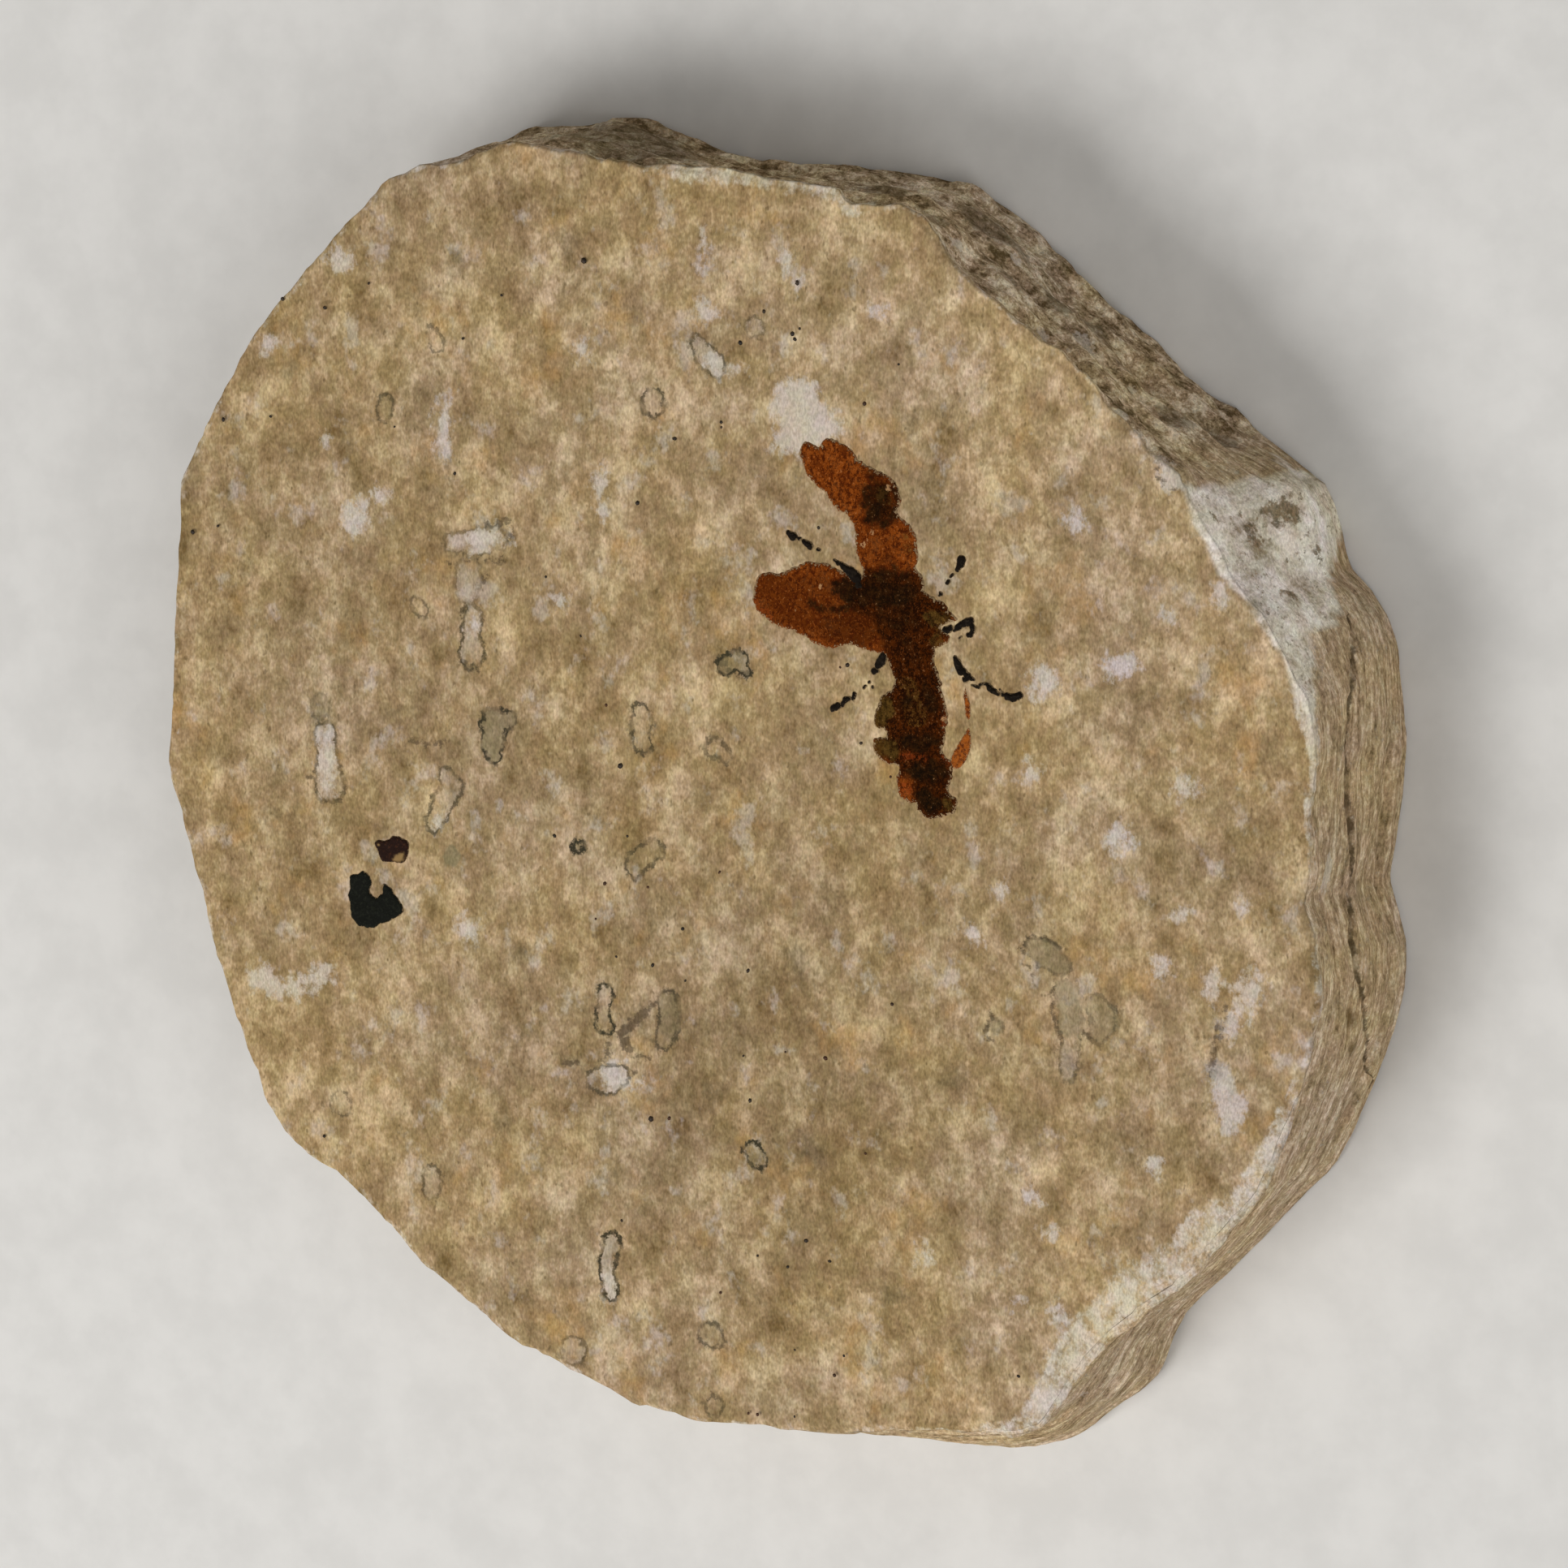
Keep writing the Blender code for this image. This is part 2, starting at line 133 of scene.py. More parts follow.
PALE_SIDE = [
    (63.3, 3.26, 0.35, 0.3), (67.3, 5.86, 0.5, 0.32), (52.6, 4.08, 0.6, 0.35), (46.1, 4.05, 0.3, 0.25),
    (55.0, 5.75, 0.3, 0.2), (43.2, 6.6, 0.35, 0.22), (70.0, 2.12, 0.5, 0.3), (-3.0, 5.2, 0.8, 0.4),
]

# Broad lighter and darker parts of the face: x, y, radius and amount
SHADES = [
    (8.5, 19.5, 5.0, 0.26), (14.5, 14.5, 5.0, 0.28), (19.0, 7.0, 3.5, 0.1), (-9.5, 19.5, 5.0, 0.1),
    (1.5, -10.0, 6.5, -0.29), (5.5, -13.5, 5.0, -0.2), (11.8, -4.8, 3.5, -0.22), (-9.5, -12.5, 4.0, -0.2),
    (-11.6, 1.9, 3.0, -0.12), (3.0, -2.0, 5.0, -0.15), (-15.8, -3.2, 3.0, -0.2), (-17.0, 9.0, 7.0, -0.14),
]

# Faint outlined marks on the face: name, darkness of the line, paleness inside, chain of discs
MARKS = [
    ("ring above the fly", 0.75, 0.1, [(-3.0, 15.03, 0.52)]),
    ("small ring top left", 0.55, 0.1, [(-12.65, 17.45, 0.2), (-12.5, 17.0, 0.32)]),
    ("ring left", 0.6, -0.15, [(-14.75, 14.6, 0.38), (-14.95, 14.2, 0.34)]),
    ("dot ring", 0.55, 0.15, [(-13.47, 6.84, 0.32), (-13.26, 6.67, 0.32)]),
    ("leaf", 0.65, 0.3, [(-1.2, 17.4, 0.23), (-0.8, 16.95, 0.42), (-0.35, 16.55, 0.46)]),
    ("pale ring top", 0.45, 0.3, [(1.3, 18.0, 0.39)]),
    ("flake head", 0.4, 0.6, [(-9.86, 9.58, 0.46), (-10.9, 9.36, 0.5), (-11.93, 9.31, 0.3)]),
    ("flake stem", 0.3, 0.3, [(-11.11, 8.3, 0.55), (-11.17, 7.45, 0.5)]),
    ("flake foot", 0.75, 0.35, [(-10.97, 6.47, 0.42), (-11.03, 5.75, 0.38), (-10.98, 5.03, 0.56)]),
    ("left capsule top", 0.35, -0.3, [(-17.91, 2.64, 0.46)]),
    ("left capsule", 0.65, 0.3, [(-17.66, 1.52, 0.46), (-17.58, 0.62, 0.42), (-17.46, -0.43, 0.72)]),
    ("green ring", 0.9, -0.5,
     [(-9.4, 2.58, 0.32), (-10.07, 2.45, 0.54), (-10.13, 1.54, 0.47), (-10.08, 1.18, 0.37)]),
    ("mid capsule", 0.75, -0.15, [(-3.55, 3.15, 0.4), (-3.6, 2.1, 0.46)]),
    ("dark ring", 1.0, -0.35, [(-0.05, 5.2, 0.33), (0.55, 5.45, 0.42), (1.05, 4.95, 0.13)]),
    ("brown ring", 0.6, 0.15, [(-0.4, 2.05, 0.42), (0.05, 1.8, 0.26)]),
    ("low capsule", 0.7, 0.3,
     [(-12.22, 0.19, 0.35), (-11.91, -0.2, 0.45), (-12.44, -0.88, 0.46), (-12.76, -1.63, 0.4)]),
    ("green spot", 0.0, -0.6, [(-11.97, -2.94, 0.48)]),
    ("small ring", 0.95, -0.3, [(-6.35, -2.15, 0.29)]),
    ("fuzzy ring", 0.7, -0.15, [(-3.85, -2.7, 0.46), (-3.1, -2.05, 0.42)]),
    ("branch leaf", 0.9, 0.2, [(-5.24, -7.81, 0.38), (-5.3, -8.38, 0.28), (-5.24, -8.98, 0.4)]),
    ("branch right", 0.7, -0.35, [(-2.45, -7.83, 0.4), (-2.36, -8.63, 0.41), (-2.64, -9.37, 0.41)]),
    ("branch foot", 0.65, 0.5, [(-5.54, -11.2, 0.46), (-5.04, -11.15, 0.53), (-4.54, -10.91, 0.4)]),
    ("oval", 0.95, -0.25, [(1.21, -13.3, 0.34), (1.4, -13.68, 0.36)]),
    ("ghost head", 0.5, -0.45, [(12.85, -4.53, 0.31), (13.49, -4.83, 0.56), (14.06, -5.19, 0.37)]),
    ("ghost body", 0.25, -0.5, [(14.32, -6.22, 0.5), (14.39, -7.09, 0.56), (14.45, -7.55, 0.44)]),
    ("ghost side", 0.45, -0.35, [(15.58, -6.64, 0.5), (15.89, -7.08, 0.56), (15.58, -7.57, 0.37)]),
    ("ghost stem", 0.45, 0.2, [(14.46, -8.13, 0.37), (14.4, -8.72, 0.37), (14.34, -9.25, 0.29)]),
    ("ghost left", 0.5, -0.4, [(11.41, -7.62, 0.27)]),
    ("long capsule", 0.9, 0.4, [(-4.95, -17.55, 0.42), (-5.2, -18.55, 0.28), (-5.0, -19.4, 0.39)]),
    ("ring low left", 0.55, 0.15, [(-17.15, -13.15, 0.49)]),
    ("ring lower left", 0.6, 0.2, [(-13.0, -15.7, 0.42), (-13.05, -16.2, 0.42)]),
    ("ring low", 0.65, -0.15, [(-0.65, -20.75, 0.52)]),
    ("ring bottom", 0.55, 0.05, [(-0.55, -23.5, 0.42)]),
    ("ring at the rim", 0.5, 0.3, [(-6.7, -22.0, 0.58)]),
]

# White chalky patches on the face, as chains of discs
WHITE_PATCHES = [
    [(3.05, 15.05, 1.05), (3.8, 14.3, 1.0), (2.6, 13.9, 0.62)], [(17.75, 14.05, 0.2), (18.4, 12.95, 0.42)],
    [(-16.25, 10.4, 0.52), (-16.2, 9.85, 0.48)], [(-0.9, 21.35, 0.16), (-0.85, 20.15, 0.2)],
    [(-0.9, 18.9, 0.23), (-0.8, 18.35, 0.26)], [(-6.05, 17.0, 0.34)], [(-16.75, 20.0, 0.5)],
    [(-20.15, 16.7, 0.34)], [(-12.1, 14.9, 0.2), (-12.25, 13.35, 0.29), (-12.2, 12.85, 0.23)],
    [(-5.25, 12.6, 0.14), (-5.35, 11.6, 0.21), (-5.25, 10.5, 0.14)], [(16.35, 6.05, 0.52)],
    [(18.9, 1.6, 0.42)], [(16.4, -0.3, 0.48)], [(18.15, -4.95, 0.42)], [(20.0, -5.4, 0.39)],
    [(8.5, -16.6, 0.29)], [(13.7, -15.3, 0.29)], [(14.15, -18.4, 0.39)], [(13.65, -21.8, 0.42)],
    [(-20.9, -8.4, 0.46), (-19.9, -8.85, 0.32), (-17.8, -8.0, 0.48)], [(13.25, 5.35, 0.6)],
    [(2.55, 20.65, 0.13), (3.05, 19.7, 0.2)], [(14.55, 11.35, 0.36)], [(6.4, 18.75, 0.28)],
    [(12.8, 1.85, 0.4)], [(10.5, -4.25, 0.34)], [(-11.25, -5.7, 0.5)], [(-7.1, 7.4, 0.24)],
    [(17.65, -12.35, 0.26)], [(-0.2, 16.6, 0.4), (0.45, 16.5, 0.26)], [(-12.55, -1.75, 0.28)],
    [(21.9, -5.15, 0.46), (21.2, -6.3, 0.42), (20.6, -7.3, 0.3)],
    [(20.45, -8.75, 0.34), (20.8, -9.7, 0.6), (20.75, -10.6, 0.4)],
    [(-9.8, 9.75, 0.38), (-10.8, 9.4, 0.34)], [(-10.87, 6.16, 0.22)],
    [(-17.66, 1.45, 0.3), (-17.5, -0.5, 0.34)],
    [(-4.72, -10.44, 0.26), (-4.85, -11.05, 0.46), (-4.09, -11.19, 0.26)],
    [(-5.15, -18.95, 0.23), (-5.0, -19.45, 0.28)], [(-15.0, 11.05, 0.28)], [(12.9, -14.0, 0.24)],
    [(11.65, -2.5, 0.24)], [(18.95, -3.0, 0.28)], [(21.25, -2.55, 0.24)], [(12.25, -18.1, 0.24)],
    [(18.3, 8.0, 0.22)], [(20.2, 8.8, 0.26)], [(-17.55, 13.15, 0.22)],
]

# Dark grey-green smudges on the face and painted shade in a shallow dent by the right edge, as chains of
# discs
DARK_SMUDGES_AND_SHADE = [
    [(-19.15, 15.6, 0.4)], [(-5.15, -15.05, 0.34)], [(-6.7, -10.6, 0.34)], [(11.25, -7.75, 0.34)],
    [(-17.73, 2.31, 0.3), (-18.45, 1.95, 0.2)], [(-14.45, 2.6, 0.16), (-14.47, 1.86, 0.26)],
    # painted shade in the shallow dent by the right edge
    [(20.55, -6.6, 0.16), (20.25, -7.6, 0.2), (20.15, -8.7, 0.16)], [(21.1, -8.2, 0.34)],
    [(-3.6, -8.6, 0.34), (-4.4, -9.3, 0.34)], [(-6.65, 20.95, 0.46)], [(-2.45, 19.5, 0.42)],
    [(-11.65, 19.9, 0.46)], [(7.75, 14.7, 0.4)], [(11.75, 11.85, 0.36)], [(-21.35, 7.9, 0.46)],
    [(-20.35, -1.7, 0.42)], [(-9.0, -6.65, 0.52)], [(3.05, -5.75, 0.56)], [(3.75, -13.15, 0.62)],
    [(-0.45, -11.35, 0.52)], [(-9.75, -13.1, 0.42)], [(9.85, -9.85, 0.52)], [(7.15, -18.45, 0.52)],
    [(16.45, -8.35, 0.4)], [(-11.7, 12.1, 0.36)],
]

# Short dark strokes on the face, as chains of small discs
DARK_STROKES = [
    [(-3.04, -8.04, 0.1), (-3.62, -8.49, 0.17), (-4.08, -8.93, 0.16), (-4.53, -9.29, 0.16)],
    [(-4.35, -9.6, 0.22), (-4.08, -9.98, 0.13)], [(-3.81, -10.1, 0.07), (-3.22, -10.19, 0.05)],
    [(-5.13, -9.58, 0.11), (-5.04, -10.06, 0.07), (-5.45, -10.46, 0.06)], [(-3.92, -10.79, 0.09)],
    [(-7.0, -10.67, 0.09), (-6.45, -10.53, 0.11)],
    [(-10.43, 10.05, 0.06), (-9.91, 10.08, 0.16), (-9.45, 10.28, 0.11), (-9.09, 10.25, 0.07)],
    [(-9.09, 10.11, 0.05), (-9.14, 9.8, 0.05), (-9.35, 9.43, 0.04)],
    [(-11.27, 8.58, 0.06), (-10.85, 8.73, 0.05), (-10.49, 8.84, 0.06), (-9.87, 8.67, 0.09),
     (-9.46, 8.75, 0.06)],
    [(-11.99, 8.5, 0.11)], [(-10.39, 8.12, 0.12), (-10.44, 7.85, 0.09)],
    [(-11.28, 6.86, 0.15), (-11.44, 6.45, 0.07)],
    [(-11.6, 4.85, 0.07), (-11.3, 4.5, 0.08), (-10.8, 4.45, 0.06)], [(1.0, 4.9, 0.1), (1.15, 5.0, 0.08)],
    [(-0.25, 5.35, 0.05), (0.3, 5.0, 0.06), (0.9, 4.9, 0.09)],
    [(-0.2, 5.45, 0.05), (0.3, 5.7, 0.05), (0.8, 5.85, 0.04)],
    [(17.5, 14.0, 0.02), (17.75, 13.4, 0.03), (17.9, 12.75, 0.05), (18.45, 12.62, 0.03)],
    [(12.69, -4.25, 0.05), (13.04, -4.17, 0.03), (13.48, -4.25, 0.05), (13.93, -4.51, 0.06),
     (14.31, -4.65, 0.04)],
    [(12.6, -4.32, 0.05), (12.47, -4.73, 0.04), (12.54, -5.08, 0.02), (12.86, -5.64, 0.03)],
    [(13.75, -5.92, 0.04), (13.69, -6.56, 0.07), (13.88, -7.48, 0.05), (14.11, -7.98, 0.07),
     (13.83, -8.36, 0.04)],
    [(14.89, -7.8, 0.08), (15.08, -7.64, 0.06), (15.4, -7.88, 0.05)],
    [(14.59, -9.29, 0.08), (14.28, -9.43, 0.04)],
    [(15.89, -6.33, 0.02), (16.27, -6.76, 0.04), (16.21, -7.46, 0.05)],
    [(11.28, -7.11, 0.04), (11.02, -7.83, 0.08), (11.22, -8.4, 0.04)],
    [(-18.51, -0.27, 0.09), (-18.11, -0.02, 0.05)],
    [(-13.82, 1.6, 0.06), (-13.22, 1.41, 0.05), (-12.7, 1.29, 0.08), (-12.1, 1.85, 0.06)],
    # painted shadow along the left edge of the shallow dent by the right edge
    [(20.75, -6.15, 0.04), (20.4, -6.95, 0.08), (20.15, -7.9, 0.08), (20.05, -8.8, 0.04)],
]

# Black and brown specks on the face, x and y
SPECKS = [
    (-19.4, 18.5), (-17.5, 18.2), (-15.5, 19.2), (-9.6, 18.9), (-6.0, 20.3), (-11.3, 17.2), (-20.0, 13.9),
    (-22.2, 13.7), (-14.4, 13.7), (-3.7, 11.2), (-7.7, 8.2), (-11.7, 12.0), (-23.7, 9.2), (-22.5, 9.5),
    (3.1, 19.7), (1.7, 18.6), (2.9, 17.8), (3.2, 18.0), (3.0, 17.6), (-0.1, 14.4), (-0.1, 14.2),
    (5.9, 15.3), (7.3, 16.8), (-2.1, 13.7), (0.7, 17.4), (-6.2, 6.0), (-5.1, 3.4), (-4.5, 1.1),
    (-7.4, -1.8), (-5.2, -3.5), (-4.2, -1.6), (-3.3, -3.5), (-1.8, -5.0), (-0.2, -2.7), (-5.6, -4.9),
    (-4.7, -6.3), (-3.1, -6.5), (-1.7, -7.0), (1.0, -6.4), (0.8, -9.7), (1.1, -11.4), (-3.2, -12.5),
    (-2.4, -12.4), (2.6, -9.4), (4.3, -9.5), (7.1, -7.2), (6.0, -13.0), (1.4, -17.4), (2.7, -17.7),
    (-0.2, -19.0), (3.5, -16.6), (12.4, -20.9), (5.1, -20.9), (3.0, -23.5), (1.4, -23.6), (1.0, -23.6),
    (3.0, -20.9), (4.7, -21.7), (4.5, -17.3), (-17.9, -14.5), (-4.5, -16.6), (4.0, 10.6), (4.9, 5.4),
    (5.2, 5.5), (5.8, 2.6), (7.0, 1.4),
]

# Outline of the fly's film, clockwise from the tip of the upper wing
FLY_OUTLINE = [
    # upper wing, its free edge on the right
    (3.25, 13.55), (3.4, 13.75), (3.65, 13.8), (3.8, 13.7), (4.0, 13.65), (4.2, 13.85), (4.5, 13.95),
    (4.85, 13.85), (5.15, 13.7), (5.45, 13.5), (5.65, 13.2), (6.0, 13.0), (6.4, 12.85), (6.9, 12.6),
    (7.2, 12.35), (7.4, 12.0), (7.4, 11.65), (7.3, 11.25), (7.55, 11.05), (7.85, 10.8), (8.05, 10.45),
    (8.15, 10.0), (8.15, 9.6), (8.1, 9.3), (8.3, 9.05), (8.4, 8.7), (8.5, 8.35),
    # right side of the thorax
    (8.75, 8.2), (9.0, 8.1), (9.25, 8.0), (9.45, 7.7), (9.75, 7.45), (9.45, 7.3), (9.2, 7.2),
    (9.1, 7.05), (9.4, 6.85), (9.3, 6.55), (9.05, 6.4), (8.85, 6.35), (8.8, 6.1),
    # right side of the abdomen, down to its tip
    (8.8, 5.8), (9.0, 5.4), (9.1, 5.0), (9.2, 4.5), (9.35, 3.95), (9.35, 3.45), (9.25, 2.9),
    (9.2, 2.4), (9.55, 2.1), (9.55, 1.8), (9.55, 1.4), (9.4, 1.1), (9.5, 0.85), (9.75, 0.75),
    (9.75, 0.4), (9.6, 0.15), (9.25, 0.05), (8.8, -0.05), (8.45, 0.0), (8.15, 0.25), (8.05, 0.45),
    # left side of the abdomen, with a pale notch between two lobes
    (7.8, 0.5), (7.45, 0.65), (7.3, 1.05), (7.25, 1.4), (7.4, 1.7), (7.25, 1.9), (6.9, 1.9),
    (6.55, 2.05), (6.35, 2.35), (6.3, 2.7), (6.45, 2.85), (6.75, 2.85), (6.85, 3.0), (6.75, 3.15),
    (6.45, 3.2), (6.3, 3.5), (6.4, 3.95), (6.6, 4.35), (6.95, 4.6), (7.1, 4.85), (7.1, 5.25),
    (6.95, 5.65), (6.7, 5.95),
    # left wing, back to the thorax
    (6.3, 6.05), (5.8, 6.15), (5.35, 6.25), (4.95, 6.2), (4.55, 6.1), (4.1, 6.15), (3.7, 6.3),
    (3.3, 6.5), (2.9, 6.7), (2.4, 6.8), (2.0, 6.95), (1.6, 7.2), (1.3, 7.5), (1.2, 7.8),
    (1.3, 8.3), (1.5, 8.65), (1.85, 8.85), (2.3, 8.8), (2.7, 8.9), (3.05, 9.1), (3.45, 9.25),
    (3.85, 9.3), (4.3, 9.25), (4.75, 9.1), (5.15, 8.95), (5.5, 8.8), (5.75, 8.85),
    # inner edge of the upper wing
    (5.9, 9.1), (5.7, 9.45), (5.55, 9.9), (5.5, 10.35), (5.45, 10.75), (5.25, 11.05), (4.85, 11.3),
    (4.5, 11.6), (4.2, 12.0), (3.8, 12.25), (3.5, 12.6), (3.35, 13.0), (3.2, 13.3),
]

# Colour zones on the fly's film, as chains of discs
FLY_DARK = [
    ("oval left", 0.8, [(6.0, 12.15, 0.21), (5.95, 11.55, 0.21)]),
    ("oval top", 0.65, [(6.15, 12.6, 0.18), (6.6, 12.7, 0.18)]),
    ("oval right", 0.85, [(7.22, 12.25, 0.14), (7.32, 11.7, 0.16), (7.16, 11.25, 0.15)]),
    ("oval foot", 0.85, [(6.3, 11.15, 0.37), (6.75, 10.82, 0.18), (7.15, 11.0, 0.14)]),
    ("lump", 0.75, [(6.28, 11.35, 0.32)]), ("oval middle", 0.42, [(6.6, 12.1, 0.5), (6.7, 11.5, 0.5)]),
    ("wing spot", 0.6, [(6.75, 9.28, 0.2), (6.95, 9.55, 0.14), (7.22, 9.25, 0.15)]),
    ("left wing patch", 0.95, [(4.75, 8.45, 0.24), (5.25, 8.45, 0.44), (5.25, 8.05, 0.32)]),
    ("left wing line", 0.8, [(3.7, 7.7, 0.13), (4.55, 7.55, 0.13), (5.35, 7.75, 0.2)]),
    ("thorax top", 0.58, [(5.8, 8.55, 0.3), (6.6, 8.85, 0.24), (7.6, 9.0, 0.24)]),
    ("thorax", 0.72, [(5.95, 8.1, 0.4), (6.95, 8.25, 0.5), (7.95, 8.35, 0.36)]),
    ("thorax low", 0.45, [(6.95, 7.65, 0.6), (7.7, 7.3, 0.5)]),
    ("waist", 0.36, [(7.6, 6.8, 0.3), (8.0, 5.9, 0.35)]),
    ("abdomen spot", 0.55, [(7.7, 4.2, 0.3)]),
    ("abdomen right", 0.6, [(8.65, 4.7, 0.3), (8.85, 4.1, 0.24)]),
    ("first band", 0.75, [(7.65, 2.8, 0.34), (8.3, 2.75, 0.4), (8.75, 2.85, 0.28)]),
    ("second band", 0.92, [(7.9, 1.68, 0.27), (8.62, 1.7, 0.37), (9.27, 1.8, 0.32)]),
    ("second band low", 0.8, [(8.8, 1.28, 0.22)]),
    ("tip", 0.95, [(8.46, 0.65, 0.34), (8.62, 0.35, 0.36), (8.87, 0.52, 0.26)]),
]
FLY_BROWN = [
    ("oval centre", 0.95, [(6.62, 12.05, 0.5), (6.72, 11.5, 0.55)]), ("neck", 0.25, [(6.6, 9.9, 0.8)]),
    ("thorax", 0.95, [(6.2, 8.2, 0.95), (7.9, 8.2, 0.95), (8.9, 7.4, 0.8)]),
    ("waist", 0.92, [(7.1, 7.1, 0.85), (7.77, 6.55, 1.1), (8.05, 5.65, 1.1)]),
    ("abdomen", 0.95, [(8.0, 5.2, 1.3), (7.75, 3.8, 1.6), (8.1, 2.8, 1.5)]),
    ("tail", 0.9, [(8.75, 1.6, 0.85), (8.9, 0.5, 1.0)]),
    ("lower left wing", 0.55, [(4.6, 6.85, 0.6), (5.6, 6.85, 0.8), (6.5, 7.2, 0.8)]),
    ("left wing", 0.4, [(2.2, 7.9, 1.0), (4.2, 7.7, 1.3)]),
]
FLY_OLIVE = [
    ("upper lobe", 0.9, [(6.78, 4.1, 0.42), (6.62, 3.5, 0.36)]),
    ("lower lobe", 0.85, [(6.62, 2.52, 0.36), (7.05, 2.4, 0.38)]),
    ("right lobe", 0.75, [(8.78, 7.45, 0.38), (9.12, 7.5, 0.3)]),
    ("right lobe low", 0.7, [(8.95, 6.6, 0.3)]), ("wing rim", 0.55, [(7.7, 10.4, 0.2), (7.85, 9.85, 0.14)]),
    ("tip right", 0.8, [(9.4, 0.5, 0.26)]), ("oval rim", 0.6, [(6.35, 12.88, 0.14)]),
    ("belly", 0.45, [(8.1, 3.8, 0.46), (7.78, 4.88, 0.4)]), ("wing joint", 0.6, [(6.42, 8.95, 0.18)]),
    ("oval inside", 0.65, [(6.75, 12.05, 0.3), (6.85, 11.6, 0.2)]),
]
FLY_RED = [
    ("wing red", 0.6, [(7.62, 10.92, 0.17)]), ("margin", 0.75, [(9.18, 3.9, 0.12), (9.2, 3.45, 0.1)]),
    ("tail margin", 0.7, [(9.33, 2.32, 0.12), (9.5, 2.2, 0.1)]),
    ("left tip", 0.35, [(1.35, 7.72, 0.22), (1.85, 7.05, 0.22)]), ("tail side", 0.55, [(7.6, 0.95, 0.25)]),
    ("tail band", 0.5, [(7.5, 2.2, 0.1), (8.6, 2.22, 0.08)]),
]
FLY_PALE = [
    ("oval speck", 0.9, [(6.95, 12.18, 0.06)]), ("neck speck", 0.9, [(6.28, 10.47, 0.06)]),
    ("neck low", 0.9, [(5.82, 10.05, 0.08)]), ("neck mid", 0.8, [(6.12, 10.2, 0.04)]),
    ("left speck", 0.8, [(4.15, 8.42, 0.04)]), ("margin speck", 0.9, [(9.22, 3.7, 0.05)]),
    ("leg gap", 0.9, [(4.6, 9.17, 0.03), (5.0, 8.88, 0.04)]),
]

# Legs as broken chains of black beads: each piece is a chain of discs
LEGS = {
    "leg_fore_left": [
        [(2.76, 10.34, 0.13), (2.93, 10.22, 0.19)], [(3.16, 10.17, 0.08), (3.23, 10.15, 0.08)],
        [(3.4, 10.03, 0.12), (3.64, 9.92, 0.16)], [(3.98, 9.78, 0.08), (4.02, 9.76, 0.07)],
        [(4.63, 9.42, 0.04), (4.83, 9.31, 0.08)],
        [(4.93, 9.28, 0.08), (5.27, 9.05, 0.19), (5.54, 8.79, 0.25), (5.72, 8.44, 0.2)],
    ],
    "leg_fore_right": [
        [(9.93, 9.67, 0.18), (9.87, 9.48, 0.15), (9.77, 9.3, 0.11)], [(9.57, 9.11, 0.07), (9.47, 9.04, 0.06)],
        [(9.4, 8.83, 0.08), (9.34, 8.76, 0.07)], [(9.07, 8.36, 0.11), (9.01, 8.3, 0.07)],
    ],
    "leg_mid_right": [
        [(9.28, 7.04, 0.14), (9.44, 7.08, 0.15)],
        [(9.61, 7.03, 0.07), (9.74, 7.13, 0.13), (9.91, 7.25, 0.15)],
        [(10.04, 7.32, 0.16), (10.27, 7.39, 0.17)],
        [(10.34, 7.34, 0.12), (10.38, 7.07, 0.1), (10.31, 6.91, 0.13)],
        [(10.18, 6.88, 0.1)], [(9.81, 6.74, 0.05), (9.91, 6.8, 0.05)],
    ],
    "leg_hind_right": [
        [(9.65, 6.03, 0.1), (9.78, 5.83, 0.15), (9.92, 5.53, 0.17)],
        [(10.02, 5.57, 0.1), (10.2, 5.34, 0.14), (10.1, 5.22, 0.13)],
        [(10.25, 5.31, 0.1), (10.45, 5.23, 0.07)], [(10.35, 5.04, 0.04), (10.65, 4.97, 0.05)],
        [(10.72, 5.06, 0.08), (10.95, 5.11, 0.09), (11.12, 4.94, 0.12)],
        [(11.12, 4.94, 0.11), (11.32, 4.83, 0.11), (11.45, 4.77, 0.09)],
        [(11.51, 4.93, 0.05), (11.65, 4.75, 0.09)],
        [(11.81, 4.7, 0.13), (12.08, 4.66, 0.16), (12.34, 4.76, 0.14)],
    ],
    "leg_hind_left": [
        [(6.73, 5.94, 0.15), (6.6, 5.72, 0.19), (6.5, 5.56, 0.15)], [(6.33, 5.31, 0.15), (6.43, 5.34, 0.11)],
        [(6.13, 4.9, 0.07)], [(5.89, 4.67, 0.07), (5.96, 4.74, 0.07)], [(6.26, 4.72, 0.06)],
        [(5.48, 4.43, 0.08), (5.45, 4.28, 0.1)], [(5.28, 4.24, 0.11), (5.11, 4.2, 0.13)],
        [(5.08, 4.11, 0.11), (4.98, 3.98, 0.1)], [(4.84, 3.94, 0.13), (4.64, 3.87, 0.13), (4.57, 3.8, 0.11)],
    ],
}

# The orange strip of wing beside the abdomen: a thin strand and a wedge
WING_STRAND = [
    (10.1, 4.9), (10.2, 4.6), (10.3, 4.3), (10.3, 3.85), (10.22, 3.75), (10.12, 3.9), (10.08, 4.3),
    (10.05, 4.65),
]
WING_WEDGE = [
    (10.25, 3.45), (10.33, 3.15), (10.33, 2.75), (10.2, 2.35), (10.05, 2.1), (9.85, 1.9), (9.62, 1.88),
    (9.5, 2.08), (9.55, 2.33), (9.72, 2.65), (9.9, 2.93), (10.06, 3.17),
]

